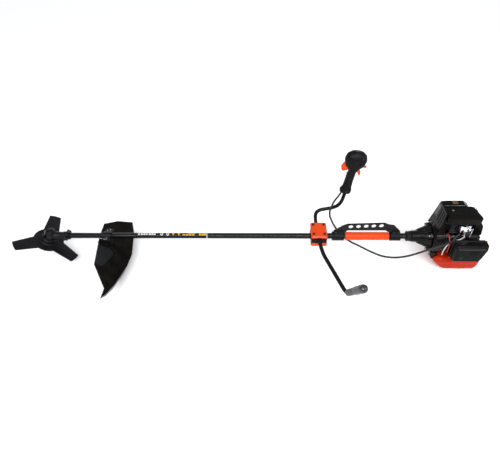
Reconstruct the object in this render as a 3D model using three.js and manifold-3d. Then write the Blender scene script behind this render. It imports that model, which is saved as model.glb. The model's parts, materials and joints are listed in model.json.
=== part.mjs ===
// A petrol brush cutter with bicycle handlebars, a three-tooth blade and a shoulder-harness rail.
//
// Units are millimetres. The model is drawn in the shaft frame: +X runs along the shaft axis from
// the blade to the engine, +Y is the operator's right and +Z is up. The last lines move the whole
// machine so that its origin lies on the ground, under the middle of its outline.

import * as THREE from 'three';
import { mergeVertices } from 'three/addons/utils/BufferGeometryUtils.js';
import { ConvexGeometry } from 'three/addons/geometries/ConvexGeometry.js';
import Module from 'manifold-3d';

const wasm = await Module();
wasm.setup();

// ---------------------------------------------------------------- driving dimensions

const GAP = 0.3; // clearance between pieces that touch
const DEGREE = Math.PI / 180;
const GROUND = -127; // height of the ground below the shaft axis

const TUBE_RADIUS = 12; // outer tube
const TUBE_BORE = 10.5;
const TUBE_START = -805; // inside the gear case
const TUBE_END = 690; // inside the clutch case
const DRIVE_RADIUS = 3.5; // drive shaft inside the tube

const HEAD_X = -879; // where the blade axis crosses the shaft axis
const HEAD_TILT = 30 * DEGREE; // blade axis, turned from vertical towards the engine
const BLADE_DROP = 31.3; // blade's top face below the crossing, along the blade axis
const BLADE_THICKNESS = 2;
const BLADE_REACH = 143; // centre to tooth tip
const BLADE_DISC = 62; // radius of the blade's solid middle
const BLADE_SPIN = 99.5 * DEGREE;
const SPINDLE_RADIUS = 5;

const PINION_TEETH = 14;
const CROWN_TEETH = 19;
const GEAR_CONE = 22; // distance from the crossing to the gears' outer ends
const GEAR_FACE = 7;

const GUARD_X = -618; // middle of the guard's bracket
const GUARD_DROP = 20; // guard's roof below the shaft axis, along the blade axis
const GUARD_WALL = 3;
const GUARD_SKIRT = 68;

const CLAMP_X = 287; // middle of the handlebar clamp
const CLAMP_LENGTH = 66;
const CLAMP_WIDTH = 90;
const BAR_HEIGHT = 24; // handlebar axis above the shaft axis, in the clamp
const BAR_RADIUS = 8;
const BAR_BORE = 6.5;

const SLEEVE_START = 397;
const SLEEVE_END = 575;
const SLEEVE_RADIUS = 17;

const CRANK_RADIUS = 6;
const FAN_RADIUS = 66;
const FAN_START = 740; // front face of the fan housing
const FAN_END = 775;
const SHROUD_START = 764; // front face of the rear shroud

const THROTTLE_X = 853; // axis of the carburettor's upright throttle barrel
const THROTTLE_Y = -57;

const CABLE_STEPS = 48;
const CABLE_RADIUS = 4;

// ---------------------------------------------------------------- materials

function finish(color, roughness, metalness = 0) {
  return new THREE.MeshStandardMaterial({ color, roughness, metalness });
}

const gloss = finish(0x121214, 0.22, 0.3); // painted tube and bars
const black = finish(0x1a1a1c, 0.45); // moulded covers
const rubber = finish(0x161617, 0.85);
const orange = finish(0xe8391a, 0.4);
const steel = finish(0x8d9094, 0.35, 1);
const dark = finish(0x2b2a33, 0.4, 0.8); // blade and its holders
const alloy = finish(0xc3c6ca, 0.32, 1);
const white = finish(0xe9e9e6, 0.5);
const red = finish(0xb81420, 0.5);
const grey = finish(0x84858a, 0.4);

// ---------------------------------------------------------------- geometry helpers

// A closed mesh as a boolean solid.
function solid(geometry) {
  const plain = geometry.index ? geometry.toNonIndexed() : geometry.clone();
  for (const name of Object.keys(plain.attributes)) {
    if (name !== 'position') plain.deleteAttribute(name);
  }
  const merged = mergeVertices(plain, 1e-4);
  return new wasm.Manifold(new wasm.Mesh({
    numProp: 3,
    vertProperties: new Float32Array(merged.attributes.position.array),
    triVerts: new Uint32Array(merged.index.array),
  }));
}

function geometryOf(shape) {
  const mesh = shape.getMesh();
  const geometry = new THREE.BufferGeometry();
  geometry.setAttribute('position', new THREE.BufferAttribute(new Float32Array(mesh.vertProperties), 3));
  geometry.setIndex(new THREE.BufferAttribute(new Uint32Array(mesh.triVerts), 1));
  geometry.computeVertexNormals();
  return geometry;
}

function joined(...pieces) {
  return geometryOf(pieces.map(solid).reduce((whole, piece) => whole.add(piece)));
}

function cut(body, ...tools) {
  return geometryOf(tools.map(solid).reduce((whole, tool) => whole.subtract(tool), solid(body)));
}

function common(first, second) {
  return geometryOf(solid(first).intersect(solid(second)));
}

function box(from, to) {
  const low = new THREE.Vector3(...from);
  const high = new THREE.Vector3(...to);
  const size = high.clone().sub(low);
  const middle = low.clone().add(high).multiplyScalar(0.5);
  return new THREE.BoxGeometry(size.x, size.y, size.z).translate(middle.x, middle.y, middle.z);
}

// The same box with its twelve edges cut back.
function chamferedBox(from, to, chamfer) {
  const points = [];
  for (const axis of [0, 1, 2]) {
    for (const corner of [0, 1, 2, 3, 4, 5, 6, 7]) {
      const point = [0, 1, 2].map((i) => {
        const high = (corner >> i) & 1;
        const inset = i === axis ? 0 : chamfer;
        return high ? to[i] - inset : from[i] + inset;
      });
      points.push(new THREE.Vector3(...point));
    }
  }
  return new ConvexGeometry(points);
}

function hull(points) {
  return new ConvexGeometry(points.map((point) => new THREE.Vector3(...point)));
}

// A lathe about the Y axis, with its faces outwards whichever way its profile runs.
function lathe(points, segments) {
  const anticlockwise = THREE.ShapeUtils.area(points) > 0;
  return new THREE.LatheGeometry(anticlockwise ? points : points.reverse(), segments);
}

// A body of revolution about the X axis from [x, radius] points.
function turnedX(profile, segments = 20) {
  const points = profile.map(([x, radius]) => new THREE.Vector2(radius, x));
  return lathe(points, segments).rotateZ(-Math.PI / 2);
}

// The same about the Z axis from [radius, z] points.
function turnedZ(profile, segments = 20) {
  const points = profile.map(([radius, z]) => new THREE.Vector2(radius, z));
  return lathe(points, segments).rotateX(Math.PI / 2);
}

function rodX(radius, from, to, segments = 20) {
  return turnedX([[from, 0], [from, radius], [to, radius], [to, 0]], segments);
}

function rodZ(radius, from, to, segments = 20) {
  return turnedZ([[0, from], [radius, from], [radius, to], [0, to]], segments);
}

function pipeX(outer, inner, from, to, segments = 20) {
  return turnedX([[from, inner], [from, outer], [to, outer], [to, inner], [from, inner]], segments);
}

// A flat outline in X and Z with a thickness along Y, centred on Y = 0.
function plateXZ(outline, thickness, holes = []) {
  const shape = new THREE.Shape(outline.map(([x, z]) => new THREE.Vector2(x, z)));
  for (const { x, z, radius } of holes) {
    shape.holes.push(new THREE.Path().absarc(x, z, radius, 0, 2 * Math.PI, true));
  }
  return new THREE.ExtrudeGeometry(shape, { depth: thickness, bevelEnabled: false, curveSegments: 8 })
    .translate(0, 0, -thickness / 2).rotateX(Math.PI / 2);
}

// A flat outline in X and Y that reaches from one height to another.
function plateXY(outline, from, to) {
  const shape = new THREE.Shape(outline.map(([x, y]) => new THREE.Vector2(x, y)));
  return new THREE.ExtrudeGeometry(shape, { depth: to - from, bevelEnabled: false }).translate(0, 0, from);
}

// A round bar, or a tube when it has a bore, along a smooth curve through the points.
function bar(points, radius, steps, { bore = 0, sides = 8 } = {}) {
  const circle = (size, clockwise) => {
    const corners = Array.from({ length: sides }, (_, i) => {
      const angle = (clockwise ? -1 : 1) * 2 * Math.PI * i / sides;
      return new THREE.Vector2(size * Math.cos(angle), size * Math.sin(angle));
    });
    return corners;
  };
  const section = new THREE.Shape(circle(radius, false));
  if (bore) section.holes.push(new THREE.Path(circle(bore, true)));
  const path = new THREE.CatmullRomCurve3(points.map((point) => new THREE.Vector3(...point)));
  return new THREE.ExtrudeGeometry(section, { steps, bevelEnabled: false, extrudePath: path });
}

// A closed skin over elliptical sections { z, x, rx, ry }, lowest first.
function loft(sections, sides = 20) {
  const positions = [];
  for (const { z, x = 0, rx, ry } of sections) {
    for (let i = 0; i < sides; i += 1) {
      const angle = 2 * Math.PI * i / sides;
      positions.push(x + rx * Math.cos(angle), ry * Math.sin(angle), z);
    }
  }
  const first = sections[0];
  const last = sections[sections.length - 1];
  const bottom = sections.length * sides;
  const top = bottom + 1;
  positions.push(first.x ?? 0, 0, first.z, last.x ?? 0, 0, last.z);
  const index = [];
  for (let ring = 0; ring < sections.length - 1; ring += 1) {
    for (let i = 0; i < sides; i += 1) {
      const a = ring * sides + i;
      const b = ring * sides + (i + 1) % sides;
      index.push(a, b, b + sides, a, b + sides, a + sides);
    }
  }
  for (let i = 0; i < sides; i += 1) {
    const next = (i + 1) % sides;
    const lift = (sections.length - 1) * sides;
    index.push(bottom, next, i, top, lift + i, lift + next);
  }
  const geometry = new THREE.BufferGeometry();
  geometry.setAttribute('position', new THREE.Float32BufferAttribute(positions, 3));
  geometry.setIndex(index);
  geometry.computeVertexNormals();
  return geometry;
}

// ---------------------------------------------------------------- scene graph

const machine = new THREE.Group();

function part(name, geometry, material, parent = machine) {
  const mesh = new THREE.Mesh(geometry, material);
  mesh.name = name;
  parent.add(mesh);
  return mesh;
}

// A group on the shaft axis whose Z axis is the blade axis.
function tiltedGroup(x) {
  const group = new THREE.Group();
  group.position.set(x, 0, 0);
  group.rotation.y = HEAD_TILT;
  machine.add(group);
  return group;
}

// ---------------------------------------------------------------- shaft

function addShaft() {
  part('outer_tube', pipeX(TUBE_RADIUS, TUBE_BORE, TUBE_START, TUBE_END), gloss);
  const pinionEnd = HEAD_X + 13;
  part('drive_shaft', rodX(DRIVE_RADIUS, pinionEnd, 722, 10), steel);
  part('liner_bush', pipeX(TUBE_BORE - GAP, DRIVE_RADIUS + GAP, -20, 20, 16), rubber);
  part('tube_collar', pipeX(21, TUBE_RADIUS + GAP, 646, 663), rubber);
  part('protective_sleeve', pipeX(SLEEVE_RADIUS, TUBE_RADIUS + GAP, SLEEVE_START, SLEEVE_END), orange);
}

// ---------------------------------------------------------------- gear head and blade

// A bevel gear whose cone has its point at the origin and opens along +Z.
function bevelGear(teeth, coneAngle, bore, phase) {
  const end = GEAR_CONE * Math.cos(coneAngle);
  const module = 2 * GEAR_CONE * Math.sin(coneAngle) / teeth;
  const tip = end * Math.tan(coneAngle + 0.7 * module / GEAR_CONE);
  const root = end * Math.tan(coneAngle - 1.1 * module / GEAR_CONE);
  const pitch = 2 * Math.PI / teeth;
  const outline = [];
  for (let tooth = 0; tooth < teeth; tooth += 1) {
    const middle = tooth * pitch + phase;
    for (const [radius, side] of [[root, -0.26], [tip, -0.13], [tip, 0.13], [root, 0.26]]) {
      const angle = middle + side * pitch;
      outline.push(new THREE.Vector2(radius * Math.cos(angle), radius * Math.sin(angle)));
    }
  }
  const blank = new THREE.ExtrudeGeometry(new THREE.Shape(outline), { depth: 1, bevelEnabled: false });
  const places = blank.attributes.position;
  const inner = (GEAR_CONE - GEAR_FACE) / GEAR_CONE;
  for (let i = 0; i < places.count; i += 1) {
    const scale = inner + (1 - inner) * places.getZ(i);
    places.setXYZ(i, places.getX(i) * scale, places.getY(i) * scale, end * scale);
  }
  return cut(blank, rodZ(bore, 0, GEAR_CONE + 2, 12));
}

// The tilted case over the gears, with its neck and the split socket that holds the tube.
function gearCase() {
  const turret = turnedZ([[0, 30], [15, 30], [22, 26], [25, 16], [25, -6], [31, -14], [31, -22], [0, -22]])
    .rotateY(HEAD_TILT).translate(HEAD_X, 0, 0);
  const neck = turnedX([
    [HEAD_X, 0], [HEAD_X, 22], [HEAD_X + 26, 19], [HEAD_X + 52, 16], [HEAD_X + 66, 16],
    [HEAD_X + 66, 18], [HEAD_X + 91, 18], [HEAD_X + 91, 0],
  ]);
  const ears = chamferedBox([HEAD_X + 69, -27, -7], [HEAD_X + 88, 27, 7], 2);
  const cavity = turnedZ([[0, 24], [19, 24], [19, -16], [8, -16], [8, -24], [0, -24]])
    .rotateY(HEAD_TILT).translate(HEAD_X, 0, 0);
  const shaftWay = rodX(11.5, HEAD_X, HEAD_X + 75);
  const socket = rodX(TUBE_RADIUS + GAP, TUBE_START - 1, HEAD_X + 92);
  return cut(joined(turret, neck, ears), cavity, shaftWay, socket);
}

function bladeOutline() {
  const outline = [];
  const tipHalf = 24 / BLADE_REACH; // half of a tooth's width, as an angle at its tip
  const rootHalf = 34 / BLADE_DISC;
  for (let tooth = 0; tooth < 3; tooth += 1) {
    const middle = BLADE_SPIN + tooth * 2 * Math.PI / 3;
    const polar = (radius, angle) => outline.push([radius * Math.cos(angle), radius * Math.sin(angle)]);
    polar(BLADE_DISC, middle - rootHalf);
    polar(BLADE_REACH, middle - tipHalf);
    polar(BLADE_REACH + 1, middle);
    polar(BLADE_REACH, middle + tipHalf);
    polar(BLADE_DISC, middle + rootHalf);
    const steps = 6;
    const span = 2 * Math.PI / 3 - 2 * rootHalf;
    for (let i = 1; i < steps; i += 1) polar(BLADE_DISC, middle + rootHalf + span * i / steps);
  }
  return outline;
}

function addGearHead() {
  part('gear_case', gearCase(), black);
  const head = tiltedGroup(HEAD_X);
  const shaftAngle = 90 * DEGREE - HEAD_TILT;
  const teethRatio = CROWN_TEETH / PINION_TEETH;
  const pinionCone = Math.atan2(Math.sin(shaftAngle), teethRatio + Math.cos(shaftAngle));
  const crownCone = shaftAngle - pinionCone;
  const pinion = bevelGear(PINION_TEETH, pinionCone, DRIVE_RADIUS + GAP, 0);
  part('pinion', pinion.rotateY(Math.PI / 2).translate(HEAD_X, 0, 0), steel);
  part('crown_gear', bevelGear(CROWN_TEETH, crownCone, SPINDLE_RADIUS + GAP, Math.PI / CROWN_TEETH), steel, head);
  part('output_shaft', rodZ(SPINDLE_RADIUS, -50, 21, 16), steel, head);

  const bladeTop = -BLADE_DROP;
  const bladeUnder = bladeTop - BLADE_THICKNESS;
  const spindleHole = SPINDLE_RADIUS + GAP;
  part('blade_holder', turnedZ([
    [spindleHole, -22.6], [26, -22.6], [30, -25], [38, -27], [38, bladeTop + GAP],
    [spindleHole, bladeTop + GAP], [spindleHole, -22.6],
  ]), dark, head);
  const blade = plateXY(bladeOutline(), bladeUnder, bladeTop);
  part('blade', cut(blade, rodZ(12.7, bladeUnder - 1, bladeTop + 1, 20)), dark, head);
  part('clamp_washer', turnedZ([
    [spindleHole, bladeUnder - GAP], [27, bladeUnder - GAP], [27, bladeUnder - 3.5],
    [spindleHole, bladeUnder - 3.5], [spindleHole, bladeUnder - GAP],
  ]), steel, head);
  const cupTop = bladeUnder - 3.5 - GAP;
  part('stabiliser_cap', turnedZ([
    [spindleHole, cupTop], [26, cupTop], [33, cupTop - 9], [30, cupTop - 12], [20, cupTop - 13],
    [20, cupTop - 11], [28.5, cupTop - 9], [23, cupTop - 2.5], [spindleHole, cupTop - 2.5], [spindleHole, cupTop],
  ]), steel, head);
  const nutTop = cupTop - 2.5 - GAP;
  const nut = cut(rodZ(9.5, nutTop - 8, nutTop, 6), rodZ(spindleHole, nutTop - 9, nutTop + 1, 16));
  part('blade_nut', nut, steel, head);
}

// ---------------------------------------------------------------- guard

const GUARD_OUTLINE = [
  [-35, 73], [-29, -18], [-7, -152], [63.5, -247], [64, -293], [81, -265],
  [98, -215], [120, -107], [123, -36], [101, 85], [78, 143], [16, 118],
];
const GUARD_HOLLOW = [
  [-42, 66], [-35, -18], [-13, -154], [57, -250], [67, -283], [78, -264],
  [95, -214], [117, -107], [119.8, -36], [98, 84], [76.5, 138.5], [17, 114.5],
];

function guardShell() {
  const skirtEnd = -GUARD_DROP - GUARD_SKIRT;
  const outer = plateXY(GUARD_OUTLINE, skirtEnd, -GUARD_DROP);
  const hollow = plateXY(GUARD_HOLLOW, skirtEnd - 5, -GUARD_DROP - GUARD_WALL);
  // The skirt grows shallow towards the guard's long tip.
  const taper = hull([
    [-60, -120, skirtEnd], [140, -120, skirtEnd], [-60, -300, -30], [140, -300, -30],
    [-60, -120, skirtEnd - 5], [140, -120, skirtEnd - 5], [-60, -300, skirtEnd - 5], [140, -300, skirtEnd - 5],
  ]);
  const tilted = cut(outer, hollow, taper).rotateY(HEAD_TILT).translate(GUARD_X, 0, 0);
  const below = box([GUARD_X - 300, -400, GROUND - 200], [GUARD_X + 300, 300, GROUND]);
  const shaftWay = rodX(TUBE_RADIUS + 2, GUARD_X - 120, GUARD_X + 120, 16);
  return cut(tilted, below, shaftWay);
}

function addGuard() {
  part('guard', guardShell(), black);
  const front = GUARD_X - 18;
  const back = GUARD_X + 18;
  const shaftHole = rodX(TUBE_RADIUS + GAP, front - 1, back + 1);
  const saddle = joined(
    chamferedBox([front, -34, GAP], [back, 34, 8], 1.5),
    common(rodX(17.5, front, back), box([front - 1, -30, GAP], [back + 1, 30, 30])),
  );
  part('guard_bracket', cut(saddle, shaftHole), dark);
  const wedge = box([front, -34, -60], [back, 34, -GAP]);
  const roofSide = box([-200, -200, -200], [200, 200, -GUARD_DROP + GAP])
    .rotateY(HEAD_TILT).translate(GUARD_X, 0, 0);
  part('guard_clamp', cut(wedge, shaftHole, roofSide), black);
}

// ---------------------------------------------------------------- handlebars

const LEFT_BAR = [
  [CLAMP_X, -3, BAR_HEIGHT], [CLAMP_X, -48, BAR_HEIGHT], [290, -85, 24], [298, -128, 23], [313, -170, 21],
  [334, -220, 14], [354, -265, 5], [365, -290, 3], [376, -306, 14], [393, -325, 46], [405, -339, 72],
];
const RIGHT_BAR = [
  [CLAMP_X - 8, 3, BAR_HEIGHT], [CLAMP_X - 8, 50, BAR_HEIGHT], [CLAMP_X - 8, 82, 25], [281, 102, 29],
  [287, 114, 33], [302, 122, 38], [327, 126, 41], [354, 128, 46], [376, 127, 60], [388, 125, 84],
  [393.5, 122, 112], [397, 119.4, 142], [401.2, 121.7, 168.7], [405.5, 124, 195],
];

function addHandlebars() {
  part('handlebar_left', bar(LEFT_BAR, BAR_RADIUS, 26, { bore: BAR_BORE }), gloss);
  part('handlebar_right', bar(RIGHT_BAR, BAR_RADIUS, 34, { bore: BAR_BORE }), gloss);
}

function addHandlebarClamp() {
  const front = CLAMP_X - CLAMP_LENGTH / 2;
  const back = CLAMP_X + CLAMP_LENGTH / 2;
  const side = CLAMP_WIDTH / 2;
  const shaftHole = rodX(TUBE_RADIUS + GAP, front - 1, back + 1);
  const rightBar = bar(RIGHT_BAR, BAR_RADIUS + 0.6, 34);
  const leftBar = bar(LEFT_BAR, BAR_RADIUS + 0.6, 26);
  const bars = [rightBar, leftBar];
  const screws = [];
  for (const x of [CLAMP_X - 22, CLAMP_X + 22]) {
    for (const y of [-28, 28]) screws.push([x, y]);
  }
  const screwHoles = screws.map(([x, y]) => rodZ(3.3, -30, 60, 10).translate(x, y, 0));
  const capTop = BAR_HEIGHT + 14;
  const base = chamferedBox([front, -side, -18], [back, side, -GAP], 4);
  part('clamp_base', cut(base, shaftHole, ...screwHoles), orange);
  const middle = box([front + 2, -side + 2, 0], [back - 2, side - 2, BAR_HEIGHT - GAP]);
  part('clamp_middle', cut(middle, shaftHole, ...bars, ...screwHoles), black);
  const cap = chamferedBox([front, -side, BAR_HEIGHT], [back, side, capTop], 5);
  part('clamp_cap', cut(cap, ...bars, ...screwHoles), orange);
  screws.forEach(([x, y], index) => {
    const screw = turnedZ([[0, -17], [3, -17], [3, capTop + GAP], [5.5, capTop + GAP], [5.5, capTop + 4], [0, capTop + 4]], 10);
    part(`clamp_screw_${index + 1}`, screw.translate(x, y, 0), steel);
  });
}

// The left grip: a sleeve over the bar's end with a thicker, domed outer half.
function addLeftGrip() {
  const grip = loft([
    { z: 0, rx: 12, ry: 12 }, { z: 6, rx: 13.5, ry: 13.5 }, { z: 52, rx: 14, ry: 14 }, { z: 58, rx: 16.5, ry: 16.5 },
    { z: 98, rx: 16.5, ry: 16.5 }, { z: 107, rx: 14, ry: 14 }, { z: 112, rx: 8, ry: 8 },
  ], 18);
  const group = new THREE.Group();
  const start = new THREE.Vector3(372, -301, 7);
  const direction = new THREE.Vector3(29, -33, 61).normalize();
  group.position.copy(start);
  group.quaternion.setFromUnitVectors(new THREE.Vector3(0, 0, 1), direction);
  machine.add(group);
  const handle = new THREE.Mesh(grip);
  group.add(handle);
  handle.updateWorldMatrix(true, false);
  const placed = grip.clone().applyMatrix4(handle.matrixWorld);
  group.remove(handle);
  machine.remove(group);
  part('left_grip', cut(placed, bar(LEFT_BAR, BAR_RADIUS + 0.6, 26)), grey);
}

// ---------------------------------------------------------------- throttle handle

const HANDLE_BASE = new THREE.Vector3(398, 120, 149);
const HANDLE_AXIS = new THREE.Vector3(23, 12, 141).normalize();

function handleGroup() {
  const group = new THREE.Group();
  group.position.copy(HANDLE_BASE);
  group.quaternion.setFromUnitVectors(new THREE.Vector3(0, 0, 1), HANDLE_AXIS);
  machine.add(group);
  return group;
}

function addThrottleHandle() {
  const handle = handleGroup();
  const skin = loft([
    { z: -8, x: -1, rx: 23, ry: 18 }, { z: 6, x: -2, rx: 25, ry: 20 }, { z: 20, x: 0, rx: 19, ry: 16.5 },
    { z: 45, x: 0, rx: 17.5, ry: 16 }, { z: 90, x: 2, rx: 17, ry: 16.5 }, { z: 106, x: 3, rx: 24, ry: 20 },
    { z: 122, x: 3, rx: 40, ry: 25 }, { z: 148, x: 3, rx: 45, ry: 28 }, { z: 168, x: 2, rx: 39, ry: 24 },
    { z: 180, x: 2, rx: 24, ry: 14 },
  ], 24);
  const hollows = [
    rodZ(BAR_RADIUS + 1, -10, 60, 12),
    box([-64, -6.5, 81], [1, 6.5, 148]),
    box([6, -5.5, 70], [45, 5.5, 112]),
    box([30, -4.5, 112.5], [60, 4.5, 134]),
  ];
  const shell = cut(skin, ...hollows);
  const leftSide = box([-80, -80, -40], [80, -GAP / 2, 220]);
  const rightSide = box([-80, GAP / 2, -40], [80, 80, 220]);
  part('throttle_housing_left', common(shell, leftSide), black, handle);
  part('throttle_housing_right', common(shell, rightSide), black, handle);
  const trigger = plateXZ([
    [-8, 138], [-22, 138], [-38, 130], [-47, 111], [-44, 96], [-36, 89], [-20, 97], [-9, 115],
  ], 11);
  part('trigger', trigger, orange, handle);
  const lockout = plateXZ([[12, 108], [24, 108], [34, 98], [37, 84], [31, 76], [23, 90]], 9);
  part('lockout_lever', lockout, orange, handle);
  part('stop_switch', chamferedBox([34, -4, 115], [52, 4, 123], 1), red, handle);
}

// ---------------------------------------------------------------- harness rail

const RAIL_HOLES = 5;
const RAIL_HOLE_PITCH = 30.5;
const RAIL_HOLE_RADIUS = 9.5;

function addHangerRail() {
  const holes = Array.from({ length: RAIL_HOLES }, (_, i) => (
    { x: 416 + i * RAIL_HOLE_PITCH, z: 53 + i * 1.4, radius: RAIL_HOLE_RADIUS }
  ));
  const outline = [
    [344, 15], [392, 15], [404, 34], [556, 34], [576, 21], [582, 15], [622, 15], [616, 32],
    [588, 62], [566, 66], [548, 75], [402, 69], [384, 60], [352, 34],
  ];
  part('hanger_rail', plateXZ(outline, 4, holes), black);
  const slot = plateXZ([[320, 14], [660, 14], [660, 60], [320, 60]], 4 + 2 * GAP);
  const clampFor = (from, to) => {
    const ring = joined(
      pipeX(19.5, TUBE_RADIUS + GAP, from, to),
      cut(chamferedBox([from + 4, -7, 12], [to - 4, 7, 30], 2), rodX(TUBE_RADIUS + 2, from, to)),
    );
    return cut(ring, slot);
  };
  part('rail_clamp_front', clampFor(344, 392), black);
  part('rail_clamp_rear', clampFor(580, 622), black);
}

// ---------------------------------------------------------------- clutch and crank

function addClutch() {
  const bell = turnedX([
    [664, TUBE_RADIUS + GAP], [664, 22], [686, 25], [712, 35], [728, 41], [FAN_START - 4, 46],
    [FAN_START - GAP, 46], [FAN_START - GAP, 38], [714, 38], [706, 28], [694, 18],
    [694, TUBE_RADIUS + GAP], [664, TUBE_RADIUS + GAP],
  ]);
  const ears = [45, 135, 225, 315].map((angle) => (
    chamferedBox([FAN_START - 14, -8, 36], [FAN_START - GAP, 8, 56], 2).rotateX(angle * DEGREE)
  ));
  const bellHollow = turnedX([[700, 0], [700, 20], [714, 38], [FAN_START, 38], [FAN_START, 0]]);
  const casing = joined(bell, ...ears.map((ear) => cut(ear, bellHollow)));
  part('clutch_case', casing, black);
  part('clutch_drum', turnedX([
    [712, DRIVE_RADIUS + GAP], [712, 12], [718, 12], [718, 35], [738, 35], [738, 33],
    [721, 33], [721, 12], [721, DRIVE_RADIUS + GAP], [712, DRIVE_RADIUS + GAP],
  ]), steel);
  const weights = cut(pipeX(31, 12, 726, 738, 24), box([720, -34, -2], [745, 34, 2]));
  part('clutch_shoes', joined(weights, pipeX(14, CRANK_RADIUS + GAP, 726, 747.5, 16)), dark);
}

function addCrank() {
  const shaft = rodX(CRANK_RADIUS, 725, 918, 16);
  const web = rodX(23, 816, 836, 20);
  part('crankshaft', joined(shaft, web), steel);
  const fins = Array.from({ length: 12 }, (_, i) => (
    box([756, -2, 34], [770, 2, FAN_RADIUS - 8]).rotateX(i * 30 * DEGREE)
  ));
  const disc = pipeX(FAN_RADIUS - 10, CRANK_RADIUS + GAP, 750, 757);
  part('flywheel', joined(disc, ...fins), alloy);
}

function addFanHousing() {
  const drum = turnedX([
    [FAN_START, 40], [FAN_START, FAN_RADIUS - 8], [FAN_START + 8, FAN_RADIUS], [FAN_END, FAN_RADIUS],
    [FAN_END, FAN_RADIUS - 4], [FAN_START + 9, FAN_RADIUS - 5], [FAN_START + 4, FAN_RADIUS - 12],
    [FAN_START + 4, 40], [FAN_START, 40],
  ], 28);
  part('fan_housing', drum, black);
}

// ---------------------------------------------------------------- engine

function addCrankcase() {
  const body = joined(
    chamferedBox([FAN_END + 3, -42, -54], [872, 42, 40], 8),
    rodX(FAN_RADIUS - 2, FAN_END + GAP, FAN_END + 5, 28),
  );
  const chamber = rodX(26, 812, 840, 20);
  const shaftHole = rodX(CRANK_RADIUS + GAP, FAN_END - 1, 880, 16);
  const bore = rodZ(20, 0, 50, 16).translate(826, 0, 0);
  part('crankcase', cut(body, chamber, shaftHole, bore), alloy);
}

function addCylinder() {
  const fins = [];
  for (let z = 52; z < 112; z += 9) {
    fins.push(box([796, -33, z], [858, 33, z + 3]));
  }
  const barrel = rodZ(25, 40 + GAP, 118, 20).translate(826, 0, 0);
  const bore = rodZ(20, 30, 108, 16).translate(826, 0, 0);
  part('cylinder', cut(joined(barrel, ...fins), bore), alloy);
  const cap = turnedZ([[0, 118.5], [8, 118.5], [9, 134], [7, 146], [0, 147]], 12).translate(826, 24, 0);
  part('plug_cap', cap, rubber);
}

// Front and top cover: a sloped hood over the cylinder that reaches down round the fan housing in
// front. It is open underneath and towards the rear shroud.
function addTopCover() {
  const shape = (inset, frontFloor, floor) => [
    hull([
      [743 + inset, -46 + inset, frontFloor], [743 + inset, 62 - inset, frontFloor],
      [774, -46 + inset, frontFloor], [774, 62 - inset, frontFloor],
      [758 + inset, -40 + inset, 157 - inset], [758 + inset, 38 - inset, 157 - inset],
      [774, -40 + inset, 157 - inset], [774, 38 - inset, 157 - inset],
    ]),
    hull([
      [772, 16, floor], [772, 62 - inset, floor], [866 - inset, 16, floor], [866 - inset, 60 - inset, floor],
      [864 - inset, 16, 138], [864 - inset, 48 - inset, 138],
      [772, 16, 157 - inset], [772, 40 - inset, 157 - inset], [842 - inset, 16, 157 - inset],
      [842 - inset, 40 - inset, 157 - inset],
    ]),
  ];
  const outer = joined(...shape(0, 27, 80));
  const inner = joined(...shape(3, 26, 79));
  const sideWay = box([771, 10, 79], [858, 17, 154]);
  const shroudWay = box([SHROUD_START - GAP, -70, 104], [780, 15 + GAP, 170]);
  const fanWay = rodX(FAN_RADIUS + 1, FAN_START - 2, FAN_END + 2, 28);
  part('top_cover', cut(outer, inner, sideWay, shroudWay, fanWay), black);
}

// Rear shroud: the box beside the top cover, open underneath.
function addRearShroud() {
  const start = SHROUD_START;
  const outer = hull([
    [start, -62, 116], [start, -60, 148], [start + 3, -58, 150], [start, 15, 150], [start, 15, 116],
    [903, -62, 134], [903, 15, 134], [886, -58, 150], [886, 15, 150], [896, -60, 146], [896, 15, 146],
  ]);
  const inner = hull([
    [start + 3, -59, 100], [start + 3, -57, 145], [start + 3, 20, 147], [start + 3, 20, 100],
    [900, -59, 100], [900, -59, 136], [900, 20, 100], [900, 20, 136], [884, -57, 147], [884, 20, 147],
  ]);
  part('rear_shroud', cut(outer, inner), black);
}

function addRecoilStarter() {
  const housing = turnedX([[873, 0], [873, 58], [905, 62], [918, 54], [921, 30], [921, 0]], 24);
  const hollow = turnedX([[872, 0], [872, 40], [900, 54], [914, 48], [918, 26], [918, 0]], 24);
  const back = turnedX([[860, 0], [860, 90], [873, 90], [873, 0]]);
  part('recoil_housing', cut(housing, hollow, back), black);
  const grip = hull([
    [921.5, -52, -8], [921.5, -52, 26], [933, -52, -12], [933, -52, 30],
    [921.5, -64, -8], [921.5, -64, 26], [933, -64, -12], [933, -64, 30],
  ]);
  part('starter_handle', grip, orange);
}

function addCarburettor() {
  const barrel = rodZ(14.5, 62, 108, 24).translate(THROTTLE_X, THROTTLE_Y, 0);
  const inlet = chamferedBox([846, -50, 70], [868, -35, 96], 2);
  const cableStop = chamferedBox([826, -63, 68], [845, -55, 78], 1);
  const bulbSeat = pipeX(12, 9.6, 831, 843, 16).translate(0, -57, 90);
  part('carburettor', joined(barrel, inlet, cableStop, bulbSeat), alloy);
  const lever = joined(rodZ(5, 108.3, 113, 12), chamferedBox([-22, -3.5, 108.3], [2, 3.5, 111], 0.8));
  part('throttle_lever', lever.translate(THROTTLE_X, THROTTLE_Y, 0), steel);
  const bulb = turnedX([[825, 0], [827, 5], [830, 8], [833, 9], [833, 0]], 14);
  part('primer_bulb', bulb.translate(0, -57, 90), red);
}

function addAirCleaner() {
  part('air_cleaner_base', chamferedBox([800, -91, -25], [920, -78, 60], 4), black);
  const cover = hull([
    [798, -91.4, -26], [908, -91.4, -26], [798, -91.4, 61], [922, -91.4, 61],
    [798, -114, 60], [922, -114, 60], [802, -126, 48], [916, -126, 50],
    [803, -126, -14], [902, -126, -16], [808, -118, -26], [897, -118, -26], [922, -91.4, 20], [920, -114, 20],
  ]);
  part('air_cleaner_cover', cover, black);
  const choke = joined(
    rodX(5, 920.4, 926, 12),
    chamferedBox([921, -3, 0], [925, 3, 22], 0.8),
  );
  part('choke_lever', choke.translate(0, -84, 36), orange);
}

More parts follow.
